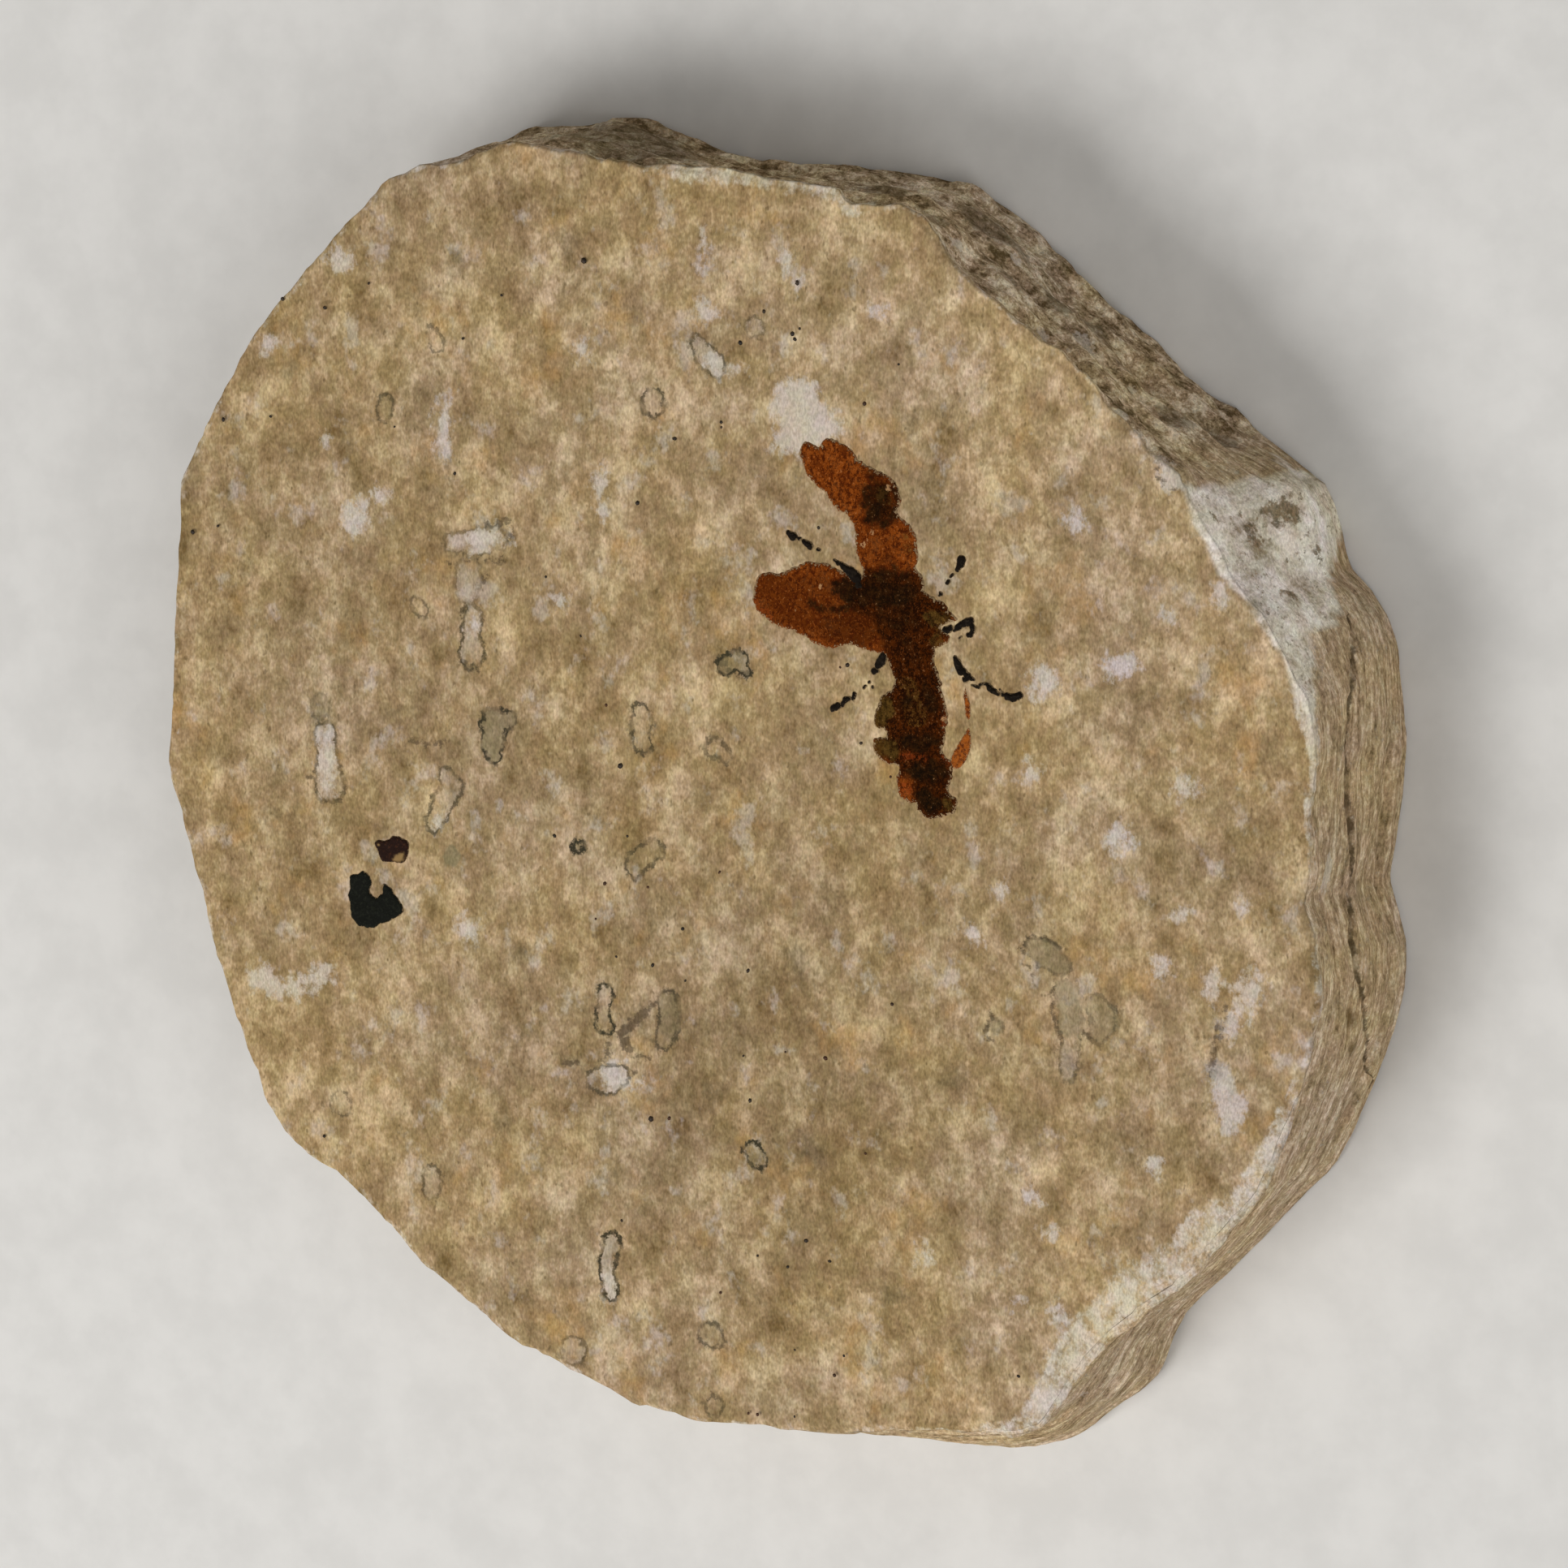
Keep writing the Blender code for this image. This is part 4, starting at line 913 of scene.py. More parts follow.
def film_patch(outline, spacing, thickness, seed, wobble=0.060):
    """Points, faces and edge distances of one closed film that hugs the stone, all in mm."""
    edge = resample_outline(outline, spacing * 0.7, wobble, seed)
    low, high = edge.min(axis=0), edge.max(axis=0)
    columns = np.arange(low[0], high[0], spacing)
    rows = np.arange(low[1], high[1], spacing * 0.866)
    grid_x, grid_y = np.meshgrid(columns, rows)
    grid_x = grid_x + 0.5 * spacing * (np.arange(len(rows)) % 2)[:, None]
    shake = 0.25 * spacing
    grid_x = grid_x + shake * soft_noise(grid_x * 7.3, grid_y * 7.3, 0.0, seed + 5)
    grid_y = grid_y + shake * soft_noise(grid_x * 7.3, grid_y * 7.3, 0.0, seed + 6)
    grid_x, grid_y = grid_x.ravel(), grid_y.ravel()
    keep = inside_outline(grid_x, grid_y, edge)
    keep &= outline_distance(grid_x, grid_y, edge) > 0.55 * spacing
    flat = np.vstack([edge, np.stack([grid_x[keep], grid_y[keep]], axis=-1)])
    ring = [(index, (index + 1) % len(edge)) for index in range(len(edge))]
    corners, _, faces, *_ = geometry.delaunay_2d_cdt([Vector(point) for point in flat], ring, [], 1, 1e-7)
    flat = np.array([tuple(corner) for corner in corners])
    distance = outline_distance(flat[:, 0], flat[:, 1], edge)
    shoulder = smooth_step(-0.02, 0.09, distance)
    grains = rough_noise(flat[:, 0] * 6.0, flat[:, 1] * 6.0, 0.0, 2, seed + 9)
    ground = stone_height(flat[:, 0], flat[:, 1])
    upper = ground + thickness * (0.15 + 0.85 * shoulder) * (1.0 + 0.35 * grains * shoulder)
    lower = ground - FILM_ROOT
    top = np.column_stack([flat, upper])
    bottom = np.column_stack([flat, lower])
    return close_film(top, bottom, faces), np.concatenate([distance, distance])


def close_film(top, bottom, faces):
    """Join a film's upper and lower sheets along their open edge."""
    count = len(top)
    upward = []
    for face in faces:
        a, b, c = (top[corner] for corner in face[:3])
        area = (b[0] - a[0]) * (c[1] - a[1]) - (b[1] - a[1]) * (c[0] - a[0])
        upward.append(tuple(face) if area > 0.0 else tuple(reversed(face)))
    edges = {(face[i], face[(i + 1) % len(face)]) for face in upward for i in range(len(face))}
    walls = [(a, a + count, b + count, b) for a, b in edges if (b, a) not in edges]
    downward = [tuple(corner + count for corner in reversed(face)) for face in upward]
    return np.vstack([top, bottom]), upward + downward + walls


def stone_height(x, y):
    """Height of the finished face in mm under a film."""
    return SLAB_TOP + face_bumps(x, y)


def join_patches(patches):
    """Several closed films as one set of points, faces and edge distances."""
    points, faces, distances, count = [], [], [], 0
    for (patch_points, patch_faces), distance in patches:
        points.append(patch_points)
        faces += [tuple(corner + count for corner in face) for face in patch_faces]
        distances.append(distance)
        count += len(patch_points)
    return np.vstack(points), faces, np.concatenate(distances)


def zone_cover(x, y, zones, softness, seed):
    """How far named zones cover points, 0 to 1, with ragged soft edges."""
    ragged = 0.24 * rough_noise(x * 3.2, y * 3.2, 0.0, 3, seed)
    cover = np.zeros(x.shape)
    for _, strength, chain in zones:
        inside = 1.0 - smooth_step(-softness, softness, chain_distance(x, y, chain) + ragged)
        cover = np.maximum(cover, strength * inside)
    return cover


def build_fly(settings):
    """The fly's film with its colour zones."""
    spacing, thickness = settings.spacing / MM, settings.thickness / MM
    (points, faces), distance = film_patch(FLY_OUTLINE, spacing, thickness, 101)
    x, y = points[:, 0], points[:, 1]
    values = {
        "edge": distance,
        "dark": zone_cover(x, y, FLY_DARK, 0.20, 111),
        "brown": zone_cover(x, y, FLY_BROWN, 0.36, 113),
        "olive": zone_cover(x, y, FLY_OLIVE, 0.18, 117),
        "red": zone_cover(x, y, FLY_RED, 0.07, 119),
        "pale": zone_cover(x, y, FLY_PALE, 0.06, 121),
    }
    body = np.maximum(values["dark"], values["brown"])
    upper = np.arange(len(points)) < len(points) // 2
    points[:, 2] += np.where(upper, 0.035 * body * smooth_step(0.0, 0.25, distance), 0.0)
    return new_piece("fly_film", points, faces, values, fly_material(settings))


def build_leg(name, chains, settings, material):
    """One leg as a row of black beads."""
    spacing = 0.6 * settings.spacing / MM
    patches = [film_patch(chain_outline(chain), spacing, LEG_FILM, 131 + 7 * index, 0.034)
               for index, chain in enumerate(chains)]
    points, faces, distance = join_patches(patches)
    return new_piece(name.replace("leg_", "beaded_leg_"), points, faces, {"edge": distance}, material)


def build_sliver(settings):
    """The strip of wing beside the abdomen."""
    spacing = 0.7 * settings.spacing / MM
    patches = [film_patch(outline, spacing, SLIVER_FILM, 151 + index, 0.02)
               for index, outline in enumerate((WING_STRAND, WING_WEDGE))]
    points, faces, distance = join_patches(patches)
    return new_piece("wing_strip", points, faces, {"edge": distance}, sliver_material())


def build_scrap(name, outline, pale_zones, material, settings, seed):
    """A scrap of plant."""
    (points, faces), distance = film_patch(outline, settings.spacing / MM, SCRAP_FILM, seed, 0.035)
    pale = zone_cover(points[:, 0], points[:, 1], pale_zones, 0.05, seed + 1)
    return new_piece(name, points, faces, {"edge": distance, "pale": pale}, material)


# Materials

class Wire:
    """One output of a node tree that takes part in plain arithmetic."""

    def __init__(self, sheet, socket):
        self.sheet = sheet
        self.socket = socket

    def __add__(self, other):
        return self.sheet.maths("ADD", self, other)

    def __sub__(self, other):
        return self.sheet.maths("SUBTRACT", self, other)

    def __rsub__(self, other):
        return self.sheet.maths("SUBTRACT", other, self)

    def __mul__(self, other):
        return self.sheet.maths("MULTIPLY", self, other)

    def __abs__(self):
        return self.sheet.maths("ABSOLUTE", self, 0.0)

    __radd__ = __add__
    __rmul__ = __mul__


class Sheet:
    """A node tree under construction."""

    def __init__(self, tree):
        self.tree = tree

    def node(self, kind, settings=None, output=0, **sockets):
        """Add a node, set it up, feed its sockets (s and a number, or a name) and hand back one output."""
        node = self.tree.nodes.new(kind)
        for key, value in (settings or {}).items():
            if key == "stops":
                for place, colour in value[2:]:
                    node.color_ramp.elements.new(place)
                for element, (place, colour) in zip(node.color_ramp.elements, sorted(value)):
                    element.position = place
                    element.color = (*colour, 1.0)
            else:
                setattr(node, key, value)
        for key, value in sockets.items():
            place = int(key[1:]) if key[0] == "s" and key[1:].isdigit() else key.replace("_", " ")
            socket = node.inputs[place]
            if isinstance(value, Wire):
                self.tree.links.new(value.socket, socket)
            elif isinstance(value, tuple) and socket.type == "RGBA":
                socket.default_value = (*value, 1.0)
            else:
                socket.default_value = value
        return Wire(self, node.outputs[output]) if len(node.outputs) else None

    def maths(self, operation, first, second):
        """One Math node."""
        return self.node("ShaderNodeMath", {"operation": operation}, s0=first, s1=second)


class Finish(Sheet):
    """A material under construction."""

    def __init__(self, name):
        self.material = bpy.data.materials.new(name)
        self.material.use_nodes = True
        super().__init__(self.material.node_tree)
        self.tree.nodes.clear()

    def attribute(self, name):
        """A number stored at the mesh's points."""
        return self.node("ShaderNodeAttribute", {"attribute_name": name}, "Fac")

    def place(self, stretch=(1.0, 1.0, 1.0), shift=(0.0, 0.0, 0.0)):
        """Object coordinates in millimetres, stretched along the axes and shifted."""
        own = self.node("ShaderNodeTexCoord", output="Object")
        scale = tuple(value / MM for value in stretch)
        return self.node("ShaderNodeMapping", Vector=own, Location=shift, Scale=scale)

    def noise(self, where, scale, detail, rough):
        """Soft noise from 0 to 1."""
        return self.node("ShaderNodeTexNoise", Vector=where, Scale=scale, Detail=detail, Roughness=rough)

    def rise(self, value, low, high):
        """0 at low, 1 at high and beyond it, soft between them; low may be the larger one."""
        settings = {"interpolation_type": "SMOOTHSTEP"}
        if low < high:
            return self.node("ShaderNodeMapRange", settings, Value=value, s1=low, s2=high)
        return 1.0 - self.node("ShaderNodeMapRange", settings, Value=value, s1=high, s2=low)

    def mix(self, share, first, second, blend="MIX"):
        """Mix two colours."""
        settings = {"data_type": "RGBA", "blend_type": blend}
        return self.node("ShaderNodeMix", settings, 2, s0=share, s6=first, s7=second)

    def ramp(self, value, *stops):
        """A colour that runs through several stops."""
        return self.node("ShaderNodeValToRGB", {"stops": stops}, Fac=value)

    def drift(self, share, colour, first, second):
        """Let a colour drift between two hues."""
        return self.mix(1.0, colour, self.mix(share, first, second), "MULTIPLY")

    def close(self, colour, roughness, height, relief, strength=1.0, specular=0.3):
        """Feed the shader and finish the material."""
        normal = self.node("ShaderNodeBump", Strength=strength, Distance=relief, Height=height)
        shader = self.node("ShaderNodeBsdfPrincipled", Base_Color=colour, Roughness=roughness, Normal=normal,
                           Specular_IOR_Level=specular)
        self.node("ShaderNodeOutputMaterial", Surface=shader)
        return self.material


def shale_material(settings):
    """Mottled tan shale: soft blotches and faint marks on the face, bedded sides, a fresh white break."""
    look = Finish("tan_shale")
    tan, peach, umber = tuple(settings.tan), tuple(settings.peach), tuple(settings.umber)
    ochre, chalk, soot = tuple(settings.ochre), tuple(settings.chalk), tuple(settings.soot)
    is_face = look.attribute("is_face")
    where = look.place()
    flat = look.place((1.0, 0.72, 1.0))
    ragged = look.noise(flat, 1.7, 4.0, 0.70)
    crumbs = look.noise(where, 3.7, 3.0, 0.70)

    # face: one mottle with blotches of every size, then stains and pale clouds
    broad = look.noise(flat, 0.30, 0.0, 0.50)
    mottle = look.noise(flat, 0.30, 5.0, 0.90) - (broad - 0.5) * 0.12
    colour = look.ramp(mottle, (0.33, umber), (0.50, tan), (0.67, peach))
    colour = look.drift(look.attribute("shade") + 0.5, colour, (0.77, 0.75, 0.68), (1.23, 1.25, 1.32))
    stain = look.noise(look.place((1.0, 0.8, 1.0), (11.0, 22.0, 0.0)), 0.50, 3.0, 0.60)
    colour = look.mix(look.rise(stain, 0.56, 0.74) * 0.42, colour, ochre)
    cloud = look.noise(look.place((1.0, 0.8, 1.0), (53.0, 7.0, 0.0)), 0.75, 4.0, 0.65)
    colour = look.mix(look.rise(cloud, 0.57, 0.70) * 0.44, colour, chalk)
    colour = look.mix(look.rise(cloud, 0.41, 0.30) * 0.22, colour, umber)
    rear = colour
    grains = look.noise(look.place((1.0, 0.55, 1.0)), 5.0, 1.0, 0.50)
    colour = look.mix(look.rise(grains, 0.66, 0.76) * 0.45, colour, srgb(92, 74, 44))

    # placed white patches, smudges and strokes with painted shade in one dent, and outlined marks
    white = look.rise(look.attribute("white") + (ragged - 0.5) * 2.2 + (crumbs - 0.5) * 0.9, 0.24, -0.32)
    colour = look.mix(white * (0.42 + crumbs * 0.9) * is_face, colour, chalk)
    smudge = look.rise(look.attribute("smudge") + (ragged - 0.5) * 2.6, 0.30, -0.50)
    colour = look.mix(smudge * 0.34 * is_face, colour, soot)
    stroke = look.rise(look.attribute("stroke") + (crumbs - 0.5) * 0.8, 0.10, -0.06)
    colour = look.mix(stroke * 0.65 * is_face, colour, srgb(70, 56, 40))
    mark = look.attribute("mark") + (ragged - 0.5) * 0.55 + (crumbs - 0.5) * 0.50
    inside = look.rise(mark, 0.03, -0.14) * is_face
    fill = look.attribute("mark_fill") * inside
    colour = look.mix(fill * look.rise(cloud, 0.36, 0.56), colour, chalk)
    colour = look.mix(fill * -0.9, colour, srgb(116, 111, 84))
    broken = look.rise(look.noise(look.place(shift=(9.0, 5.0, 0.0)), 1.6, 2.0, 0.6), 0.36, 0.56)
    line = look.rise(abs(mark), 0.135, 0.020) * (0.48 + broken * 0.62)
    colour = look.mix(line * look.attribute("mark_line") * is_face, colour, srgb(60, 54, 38))

    # broken side: thin streaks along the beds, grit, and coarse flecks on the rugged side
    streaks = look.noise(look.place((0.45, 0.45, 4.2)), 1.0, 4.0, 0.80)
    gritty = look.noise(look.place((1.0, 1.0, 1.6), (2.0, 0.0, 0.0)), 2.8, 3.0, 0.80)
    flecks = look.noise(look.place((1.0, 1.0, 1.4), (8.0, 0.0, 0.0)), 0.85, 5.0, 0.85)
    rugged = look.attribute("rugged")
    bedded = (streaks - 0.5) * (0.60 - rugged * 0.35) + gritty * 0.40 + (flecks - 0.5) * rugged * 1.3 + 0.29
    bed_colours = ((0.33, srgb(98, 79, 50)), (0.49, srgb(176, 151, 118)), (0.66, srgb(240, 221, 190)))
    side = look.ramp(bedded, *bed_colours)
    tone = look.attribute("tone")
    specked = (crumbs - 0.5) * 2.2 + (flecks - 0.5) * 2.2
    # dark patches, and painted shade over the far end of the rugged upper side
    side = look.mix(look.rise(specked - tone, 0.20, 0.85) * 0.55, side, srgb(90, 78, 54))
    side = look.mix(look.rise(specked + tone, 0.30, 0.80) * 0.65, side, srgb(196, 184, 166))
    colour = look.mix(is_face, side, colour)
    colour = look.mix(look.attribute("is_rear"), colour, rear)

    # fresh break, bruised rim with a painted edge highlight, and painted shade in the parting
    cloudy = look.noise(look.place(shift=(1.0, 3.0, 0.0)), 0.8, 4.0, 0.75)
    fresh_colours = ((0.32, srgb(160, 144, 118)), (0.47, srgb(222, 210, 192)), (0.62, srgb(248, 240, 226)))
    fresh = look.ramp(cloudy, *fresh_colours)
    fresh = look.mix(look.rise(gritty, 0.54, 0.72) * 0.22, fresh, srgb(160, 144, 120))
    patch = look.rise(look.attribute("stain") + (crumbs - 0.5) * 3.0 + (ragged - 0.5) * 3.0, 0.25, 0.90)
    stained = look.mix(look.rise(gritty, 0.42, 0.58), srgb(96, 84, 56), srgb(140, 116, 86))
    fresh = look.mix(patch * 0.85, fresh, stained)
    colour = look.mix(look.attribute("fresh"), colour, fresh)
    # bruised, powdery rim with a painted edge highlight
    powder = look.rise(look.attribute("powder") + (crumbs - 0.5) * 0.6 + (ragged - 0.5) * 1.8, 0.30, 0.86)
    colour = look.mix(powder * 0.80, colour, srgb(214, 204, 190))
    # painted shade in the open parting on the right side
    crack = look.rise(abs(look.attribute("crack")) + (crumbs - 0.5) * 3.5, 1.6, 0.4)
    colour = look.mix(crack * (0.35 + broken * 0.45), colour, srgb(62, 48, 26))
    colour = look.mix(look.attribute("pit") * 0.75, colour, srgb(84, 62, 24))

    # hue drifts and fine grain over everything
    hue = look.noise(look.place((1.0, 0.8, 1.0), (31.0, 17.0, 5.0)), 1.3, 3.0, 0.75)
    colour = look.drift(look.rise(hue, 0.34, 0.66), colour, (0.978, 1.016, 0.960), (1.022, 0.988, 1.015))
    warmth = look.noise(look.place(shift=(3.0, 41.0, 5.0)), 0.12, 3.0, 0.80)
    colour = look.drift(look.rise(warmth, 0.32, 0.68), colour, (1.015, 1.00, 0.90), (0.985, 1.00, 1.10))
    grain = look.noise(look.place((1.0, 0.45, 0.8)), 13.0, 1.0, 0.6)
    colour = look.drift(look.rise(grain, 0.28, 0.72), colour, (0.84, 0.84, 0.84), (1.16, 1.16, 1.16))

    # bump: soft pulp on the face, ledges on the side
    relief = look.noise(flat, 2.2, 2.0, 0.75) * 0.8
    ledges = look.noise(look.place((0.6, 0.6, 3.4)), 1.1, 3.0, 0.85)
    relief = relief + ledges * (1.0 - is_face) * 2.0
    return look.close(colour, 0.88 + (grain - 0.5) * 0.12, relief, 0.11 * MM, 0.8, 0.12)


def fly_material(settings):
    """Granular rusty film, nearly black over the body, frayed at its edge."""
    look = Finish("fly_film")
    orange, rust = tuple(settings.orange), tuple(settings.rust)
    brown, black = tuple(settings.brown), tuple(settings.black)
    where = look.place()
    grains = look.noise(look.place((1.0, 0.75, 1.0)), 6.0, 4.0, 0.85)
    clumps = look.noise(where, 1.8, 4.0, 0.7)
    fine = look.noise(look.place((1.0, 0.7, 1.0)), 15.0, 2.0, 0.6)
    colour = look.mix(look.rise(grains, 0.42, 0.59), rust, orange)
    colour = look.mix(look.rise(clumps, 0.46, 0.62) * 0.45, colour, srgb(88, 34, 6))
    colour = look.mix(look.rise(clumps, 0.50, 0.34) * 0.25, colour, srgb(140, 84, 40))
    colour = look.mix(look.rise(fine, 0.54, 0.68) * 0.50, colour, srgb(168, 90, 32))
    body = look.mix(look.rise(grains, 0.43, 0.61), srgb(18, 6, 1), brown)
    body = look.mix(look.rise(fine, 0.55, 0.68) * 0.50, body, srgb(96, 50, 18))
    over_body = look.attribute("brown") + (grains - 0.5) * 1.6
    colour = look.mix(look.rise(over_body, 0.1, 0.9) * 0.95, colour, body)
    olive = look.mix(look.rise(grains, 0.36, 0.66), srgb(48, 33, 8), srgb(96, 72, 30))
    over_lobes = look.attribute("olive") + (grains - 0.5) * 2.2
    colour = look.mix(look.rise(over_lobes, 0.25, 0.90) * 0.80, colour, olive)
    deep = look.mix(look.rise(grains, 0.42, 0.70), black, srgb(54, 30, 8))
    spread = (grains - 0.5) * 2.2 + (clumps - 0.5) * 1.4
    colour = look.mix(look.rise(look.attribute("dark") + spread, 0.12, 0.92) * 0.95, colour, deep)
    colour = look.mix(look.attribute("red") * look.rise(grains, 0.42, 0.60) * 0.8, colour, srgb(158, 66, 26))
    pale = look.attribute("pale") + (fine - 0.5) * 2.0 + (grains - 0.5) * 2.0
    colour = look.mix(look.rise(pale, 0.35, 0.95) * 0.70, colour, srgb(190, 146, 100))
    edge = look.attribute("edge") + (fine - 0.5) * 0.45 + (grains - 0.5) * 0.50
    colour = look.mix(look.rise(edge, 0.22, 0.06) * 0.35, colour, srgb(52, 22, 6))
    colour = look.mix(look.rise(edge, 0.060, 0.005) * 0.85, colour, STONE_BELOW)
    height = grains * 0.6 + fine * 0.4
    return look.close(colour, 0.85 + (fine - 0.5) * 0.2, height, 0.04 * MM, 0.6, 0.02)


def carbon_material(name, deep, sheen, pale):
    """Black carbon film with a dull sheen and paler grains."""
    look = Finish(name)
    grains = look.noise(look.place(), 9.0, 3.0, 0.65)
    clumps = look.noise(look.place(), 3.0, 2.0, 0.6)
    colour = look.mix(look.rise(grains, 0.48, 0.72) * 0.8, deep, sheen)
    colour = look.mix(look.rise(clumps, 0.58, 0.75) * 0.4, colour, sheen)
    colour = look.mix(look.attribute("pale") * 0.9, colour, pale)
    frayed = look.rise(look.attribute("edge") + (grains - 0.5) * 0.16, 0.03, 0.0)
    colour = look.mix(frayed * 0.6, colour, STONE_BELOW)
    return look.close(colour, 0.75 + (clumps - 0.5) * 0.2, grains, 0.03 * MM, 0.7, 0.08)


def sliver_material():
    """Thin orange film that lets the stone show between its grains."""
    look = Finish("wing_strip")
    grains = look.noise(look.place((1.0, 0.6, 1.0)), 8.0, 3.0, 0.65)
    fine = look.noise(look.place(), 18.0, 2.0, 0.6)
    colour = look.mix(look.rise(grains, 0.36, 0.60), srgb(84, 36, 8), srgb(156, 82, 24))
    colour = look.mix(look.rise(fine, 0.56, 0.72) * 0.4, colour, srgb(176, 124, 72))
    frayed = look.rise(look.attribute("edge") + (fine - 0.5) * 0.3, 0.030, 0.0)
    colour = look.mix(frayed * 0.7, colour, STONE_BELOW)
    return look.close(colour, 0.8 + (grains - 0.5) * 0.2, grains, 0.03 * MM, 0.6, 0.06)


def floor_material():
    """Plain pale board with a very faint tooth."""
    look = Finish("pale_floor")
    tooth = look.noise(look.place(), 0.35, 4.0, 0.6)
    colour = look.mix(look.rise(tooth, 0.3, 0.7), srgb(214, 212, 208), srgb(222, 220, 216))
    return look.close(colour, 0.9 + (tooth - 0.5) * 0.1, tooth, 0.02 * MM, 0.3, 0.2)


# Scatter

def scatter_tree(name, material, turn_limit):
    """Node tree that puts a small flattened grain on every point of a mesh."""
    tree = bpy.data.node_groups.new(name, "GeometryNodeTree")
    tree.is_modifier = True
    face = tree.interface
    face.new_socket("Geometry", in_out="INPUT", socket_type="NodeSocketGeometry")
    for label, default in (("Grain Size", 0.1 * MM), ("Smallest Share", 0.5), ("Flatness", 0.4)):
        socket = face.new_socket(label, in_out="INPUT", socket_type="NodeSocketFloat")
        socket.default_value = default
    seed = face.new_socket("Seed", in_out="INPUT", socket_type="NodeSocketInt")
    seed.default_value = 1
    face.new_socket("Geometry", in_out="OUTPUT", socket_type="NodeSocketGeometry")

    sheet = Sheet(tree)
    given = {socket.name: Wire(sheet, socket) for socket in tree.nodes.new("NodeGroupInput").outputs}

    def draw(kind, low, high, output=0):
        limits = {"s0": low, "s1": high} if kind == "FLOAT_VECTOR" else {"s2": low, "s3": high}
        settings = {"data_type": kind}
        return sheet.node("FunctionNodeRandomValue", settings, output, Seed=given["Seed"], **limits)

    turn = draw("FLOAT_VECTOR", (-turn_limit, -turn_limit, -math.pi), (turn_limit, turn_limit, math.pi))
    stretch = draw("FLOAT_VECTOR", (0.7, 0.7, 0.9), (1.35, 1.35, 1.1))
    size = draw("FLOAT", given["Smallest Share"], 1.0, 1)
    flat = sheet.node("ShaderNodeCombineXYZ", X=1.0, Y=1.0, Z=given["Flatness"])
    shape = sheet.node("ShaderNodeVectorMath", {"operation": "MULTIPLY"}, s0=stretch, s1=flat)
    scale = sheet.node("ShaderNodeVectorMath", {"operation": "SCALE"}, s0=shape, Scale=size)
    grain = sheet.node("GeometryNodeMeshIcoSphere", Subdivisions=1, Radius=given["Grain Size"])
    points = sheet.node("GeometryNodeMeshToPoints", Mesh=given["Geometry"])
    placed = sheet.node(
        "GeometryNodeInstanceOnPoints", Points=points, Instance=grain, Rotation=turn, Scale=scale)
    solid = sheet.node("GeometryNodeRealizeInstances", Geometry=placed)
    painted = sheet.node("GeometryNodeSetMaterial", Geometry=solid, Material=material)
    sheet.node("NodeGroupOutput", Geometry=painted)
    return tree


def scatter(name, points_mm, tree, numbers):
    """Run a scatter tree over points and keep the result as a plain mesh."""
    seeds = bpy.data.meshes.new(name + "_points")
    seeds.from_pydata((np.asarray(points_mm) * MM).tolist(), [], [])
    holder = bpy.data.objects.new(name + "_points", seeds)
    bpy.context.scene.collection.objects.link(holder)
    modifier = holder.modifiers.new("scatter", "NODES")
    modifier.node_group = tree
    for item in tree.interface.items_tree:
        if item.item_type == "SOCKET" and item.in_out == "INPUT" and item.name in numbers:
            modifier[item.identifier] = numbers[item.name]
    bpy.context.view_layer.update()
    evaluated = holder.evaluated_get(bpy.context.evaluated_depsgraph_get())
    mesh = bpy.data.meshes.new_from_object(evaluated)
    mesh.name = name
    mesh.shade_smooth()
    holder.modifiers.remove(modifier)
    bpy.data.objects.remove(holder)
    piece = bpy.data.objects.new(name, mesh)
    bpy.context.scene.collection.objects.link(piece)
    return piece


def speck_material():
    """Black mineral speck."""
    look = Finish("black_speck")
    grains = look.noise(look.place(), 6.0, 2.0, 0.6)
    tone = look.noise(look.place(), 0.5, 1.0, 0.5)
    colour = look.mix(look.rise(grains, 0.4, 0.7), srgb(34, 26, 18), srgb(64, 50, 34))
    colour = look.mix(look.rise(tone, 0.55, 0.65) * 0.6, colour, srgb(84, 46, 22))
    return look.close(colour, 0.6 + (grains - 0.5) * 0.2, grains, 0.02 * MM, 0.5, 0.3)


# Operators

class FOSSIL_OT_slab(Operator):
    """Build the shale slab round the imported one"""

    bl_idname = "fossil.slab"
    bl_label = "Shale slab"

    def execute(self, context):
        piece = build_slab(context.scene.fossil_slab)
        finish_piece(piece, "shale", "matrix_slab")
        return {"FINISHED"}


class FOSSIL_OT_fly(Operator):
    """Lay the fly's film and the strip of wing on the face"""

    bl_idname = "fossil.fly"
    bl_label = "Fly"

    def execute(self, context):
        settings = context.scene.fossil_film
        finish_piece(build_fly(settings), "fly_film", "fly_body_and_wings")
        finish_piece(build_sliver(settings), "wing_film", "wing_sliver")
        return {"FINISHED"}


class FOSSIL_OT_legs(Operator):
    """Lay the five loose pieces of leg on the face"""

    bl_idname = "fossil.legs"
    bl_label = "Legs"

    def execute(self, context):
        settings = context.scene.fossil_film
        material = carbon_material("leg_carbon", tuple(settings.black), srgb(44, 36, 26), srgb(96, 76, 50))
        for name, chains in LEGS.items():
            finish_piece(build_leg(name, chains, settings, material), "leg_film", name)
        return {"FINISHED"}


class FOSSIL_OT_scraps(Operator):
    """Lay the two scraps of plant on the face"""

    bl_idname = "fossil.scraps"
    bl_label = "Plant scraps"

    def execute(self, context):
        settings = context.scene.fossil_film
        black = carbon_material("plant_carbon", srgb(15, 16, 10), srgb(34, 36, 26), srgb(60, 54, 38))
        brown = carbon_material("brown_carbon", srgb(34, 18, 12), srgb(66, 38, 22), srgb(164, 132, 84))
        plant = build_scrap("black_scrap", PLANT_SCRAP, [], black, settings, 171)
        finish_piece(plant, "plant_film", "plant_scrap")
        scrap = build_scrap("dark_brown_scrap", BROWN_SCRAP, BROWN_SCRAP_PALE, brown, settings, 181)
        finish_piece(scrap, "brown_film", "brown_scrap")
        return {"FINISHED"}


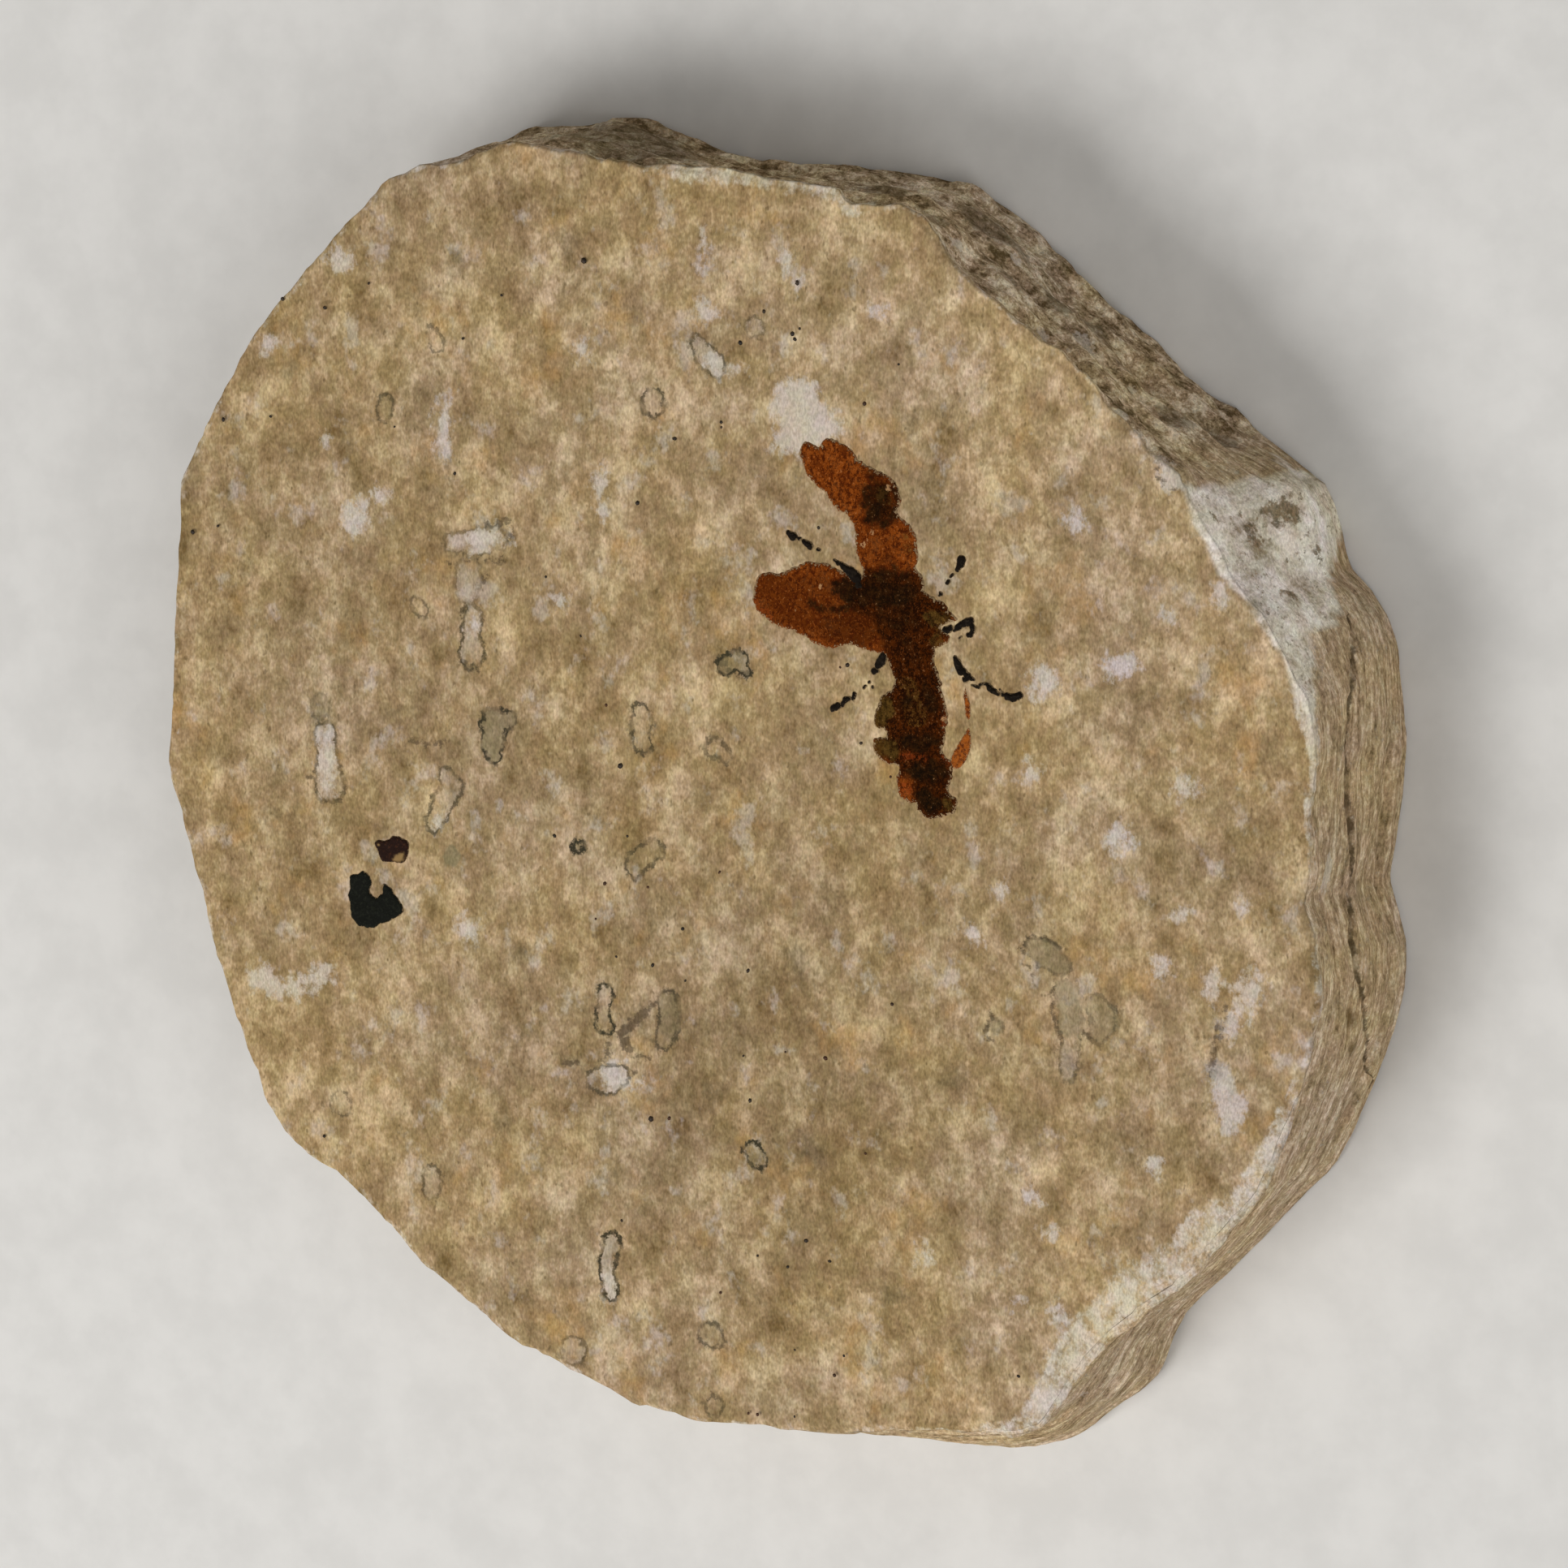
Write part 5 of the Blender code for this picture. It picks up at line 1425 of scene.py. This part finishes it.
class FOSSIL_OT_specks(Operator):
    """Strew the black specks over the face"""

    bl_idname = "fossil.specks"
    bl_label = "Specks"

    def execute(self, context):
        places = np.array(SPECKS)
        heights = stone_height(places[:, 0], places[:, 1])
        tree = scatter_tree("speck_scatter", speck_material(), 0.15)
        numbers = {"Grain Size": 0.110 * MM, "Smallest Share": 0.45, "Flatness": 0.35, "Seed": 7}
        piece = scatter("black_specks", np.column_stack([places, heights]), tree, numbers)
        finish_piece(piece, "leg_film")
        return {"FINISHED"}


class FOSSIL_OT_stage(Operator):
    """Set the floor, the lights and the camera"""

    bl_idname = "fossil.stage"
    bl_label = "Stage"

    def execute(self, context):
        settings = context.scene.fossil_stage
        build_floor(settings)
        build_lights(settings)
        build_camera(settings)
        context.scene.view_settings.view_transform = "Standard"
        return {"FINISHED"}


def build_floor(settings):
    """The pale board that the slab lies on."""
    half = 0.5 * settings.floor_size / MM
    corners = [(x, y, FLOOR_HEIGHT) for x, y in ((-half, -half), (half, -half), (half, half), (-half, half))]
    floor = new_piece("floor", corners, [(0, 1, 2, 3)], {}, floor_material())


def aim(place, target):
    """Rotation that points an object's -Z axis from place to target."""
    return (target - place).to_track_quat("-Z", "Y")


def build_lights(settings):
    """A soft key from the lower left, a wide fill and a pale sky."""
    target = Vector((0.0, 0.0, SLAB_TOP * MM))
    lamps = [
        ("key", settings.key_power, Vector(KEY_PLACE), KEY_WIDTH),
        ("fill", settings.fill_power, Vector(FILL_PLACE), FILL_WIDTH),
    ]
    for name, power, place, width in lamps:
        light = bpy.data.lights.new(name, "AREA")
        light.energy = power
        light.size = width
        lamp = bpy.data.objects.new(name, light)
        lamp.location = place
        lamp.rotation_mode = "QUATERNION"
        lamp.rotation_quaternion = aim(place, target)
        lamp.visible_camera = False
        bpy.context.scene.collection.objects.link(lamp)
    world = bpy.data.worlds.new("studio")
    bpy.context.scene.world = world
    world.use_nodes = True
    sky = world.node_tree.nodes["Background"]
    sky.inputs["Color"].default_value = SKY_COLOUR
    sky.inputs["Strength"].default_value = SKY_STRENGTH


def build_camera(settings):
    """A long lens looking down on the face, leaning to the right and a little to the top."""
    right_lean, up_lean = settings.lean_right, settings.lean_up
    back = Vector((math.sin(right_lean) * math.cos(up_lean), math.sin(up_lean),
                   math.cos(right_lean) * math.cos(up_lean)))
    right = Vector((math.cos(right_lean), 0.0, -math.sin(right_lean)))
    up = back.cross(right)
    target = Vector(PICTURE_CENTRE) * MM
    data = bpy.data.cameras.new("camera")
    data.sensor_width = 36.0
    data.lens = data.sensor_width * settings.camera_distance / settings.field_width
    data.clip_start = 0.01
    data.clip_end = 5.0
    camera = bpy.data.objects.new("camera", data)
    turn = Matrix((right, up, back)).transposed().to_4x4()
    camera.matrix_world = Matrix.Translation(target + back * settings.camera_distance) @ turn
    bpy.context.scene.collection.objects.link(camera)
    bpy.context.scene.camera = camera


STEPS = (FOSSIL_OT_stage, FOSSIL_OT_slab, FOSSIL_OT_fly, FOSSIL_OT_legs, FOSSIL_OT_scraps, FOSSIL_OT_specks)


class FOSSIL_PT_panel(Panel):
    """Buttons and sizes of the fossil slab"""

    bl_idname = "FOSSIL_PT_panel"
    bl_label = "Fossil slab"
    bl_space_type = "VIEW_3D"
    bl_region_type = "UI"
    bl_category = "Fossil"

    def draw(self, context):
        for step in STEPS:
            self.layout.operator(step.bl_idname, text=step.bl_label)
        for holder in (context.scene.fossil_slab, context.scene.fossil_film, context.scene.fossil_stage):
            box = self.layout.box()
            for key in holder.__annotations__:
                box.prop(holder, key)


CLASSES = (FossilSlabSettings, FossilFilmSettings, FossilStageSettings, *STEPS, FOSSIL_PT_panel)


def register():
    """Add the classes and the scene's settings."""
    for entry in CLASSES:
        bpy.utils.register_class(entry)
    bpy.types.Scene.fossil_slab = PointerProperty(type=FossilSlabSettings)
    bpy.types.Scene.fossil_film = PointerProperty(type=FossilFilmSettings)
    bpy.types.Scene.fossil_stage = PointerProperty(type=FossilStageSettings)


def unregister():
    """Take the settings and the classes away again."""
    del bpy.types.Scene.fossil_slab
    del bpy.types.Scene.fossil_film
    del bpy.types.Scene.fossil_stage
    for entry in reversed(CLASSES):
        bpy.utils.unregister_class(entry)


def main():
    """Build everything in order."""
    register()
    bpy.ops.fossil.stage()
    bpy.ops.fossil.slab()
    bpy.ops.fossil.fly()
    bpy.ops.fossil.legs()
    bpy.ops.fossil.scraps()
    bpy.ops.fossil.specks()


if __name__ == "__main__":
    main()
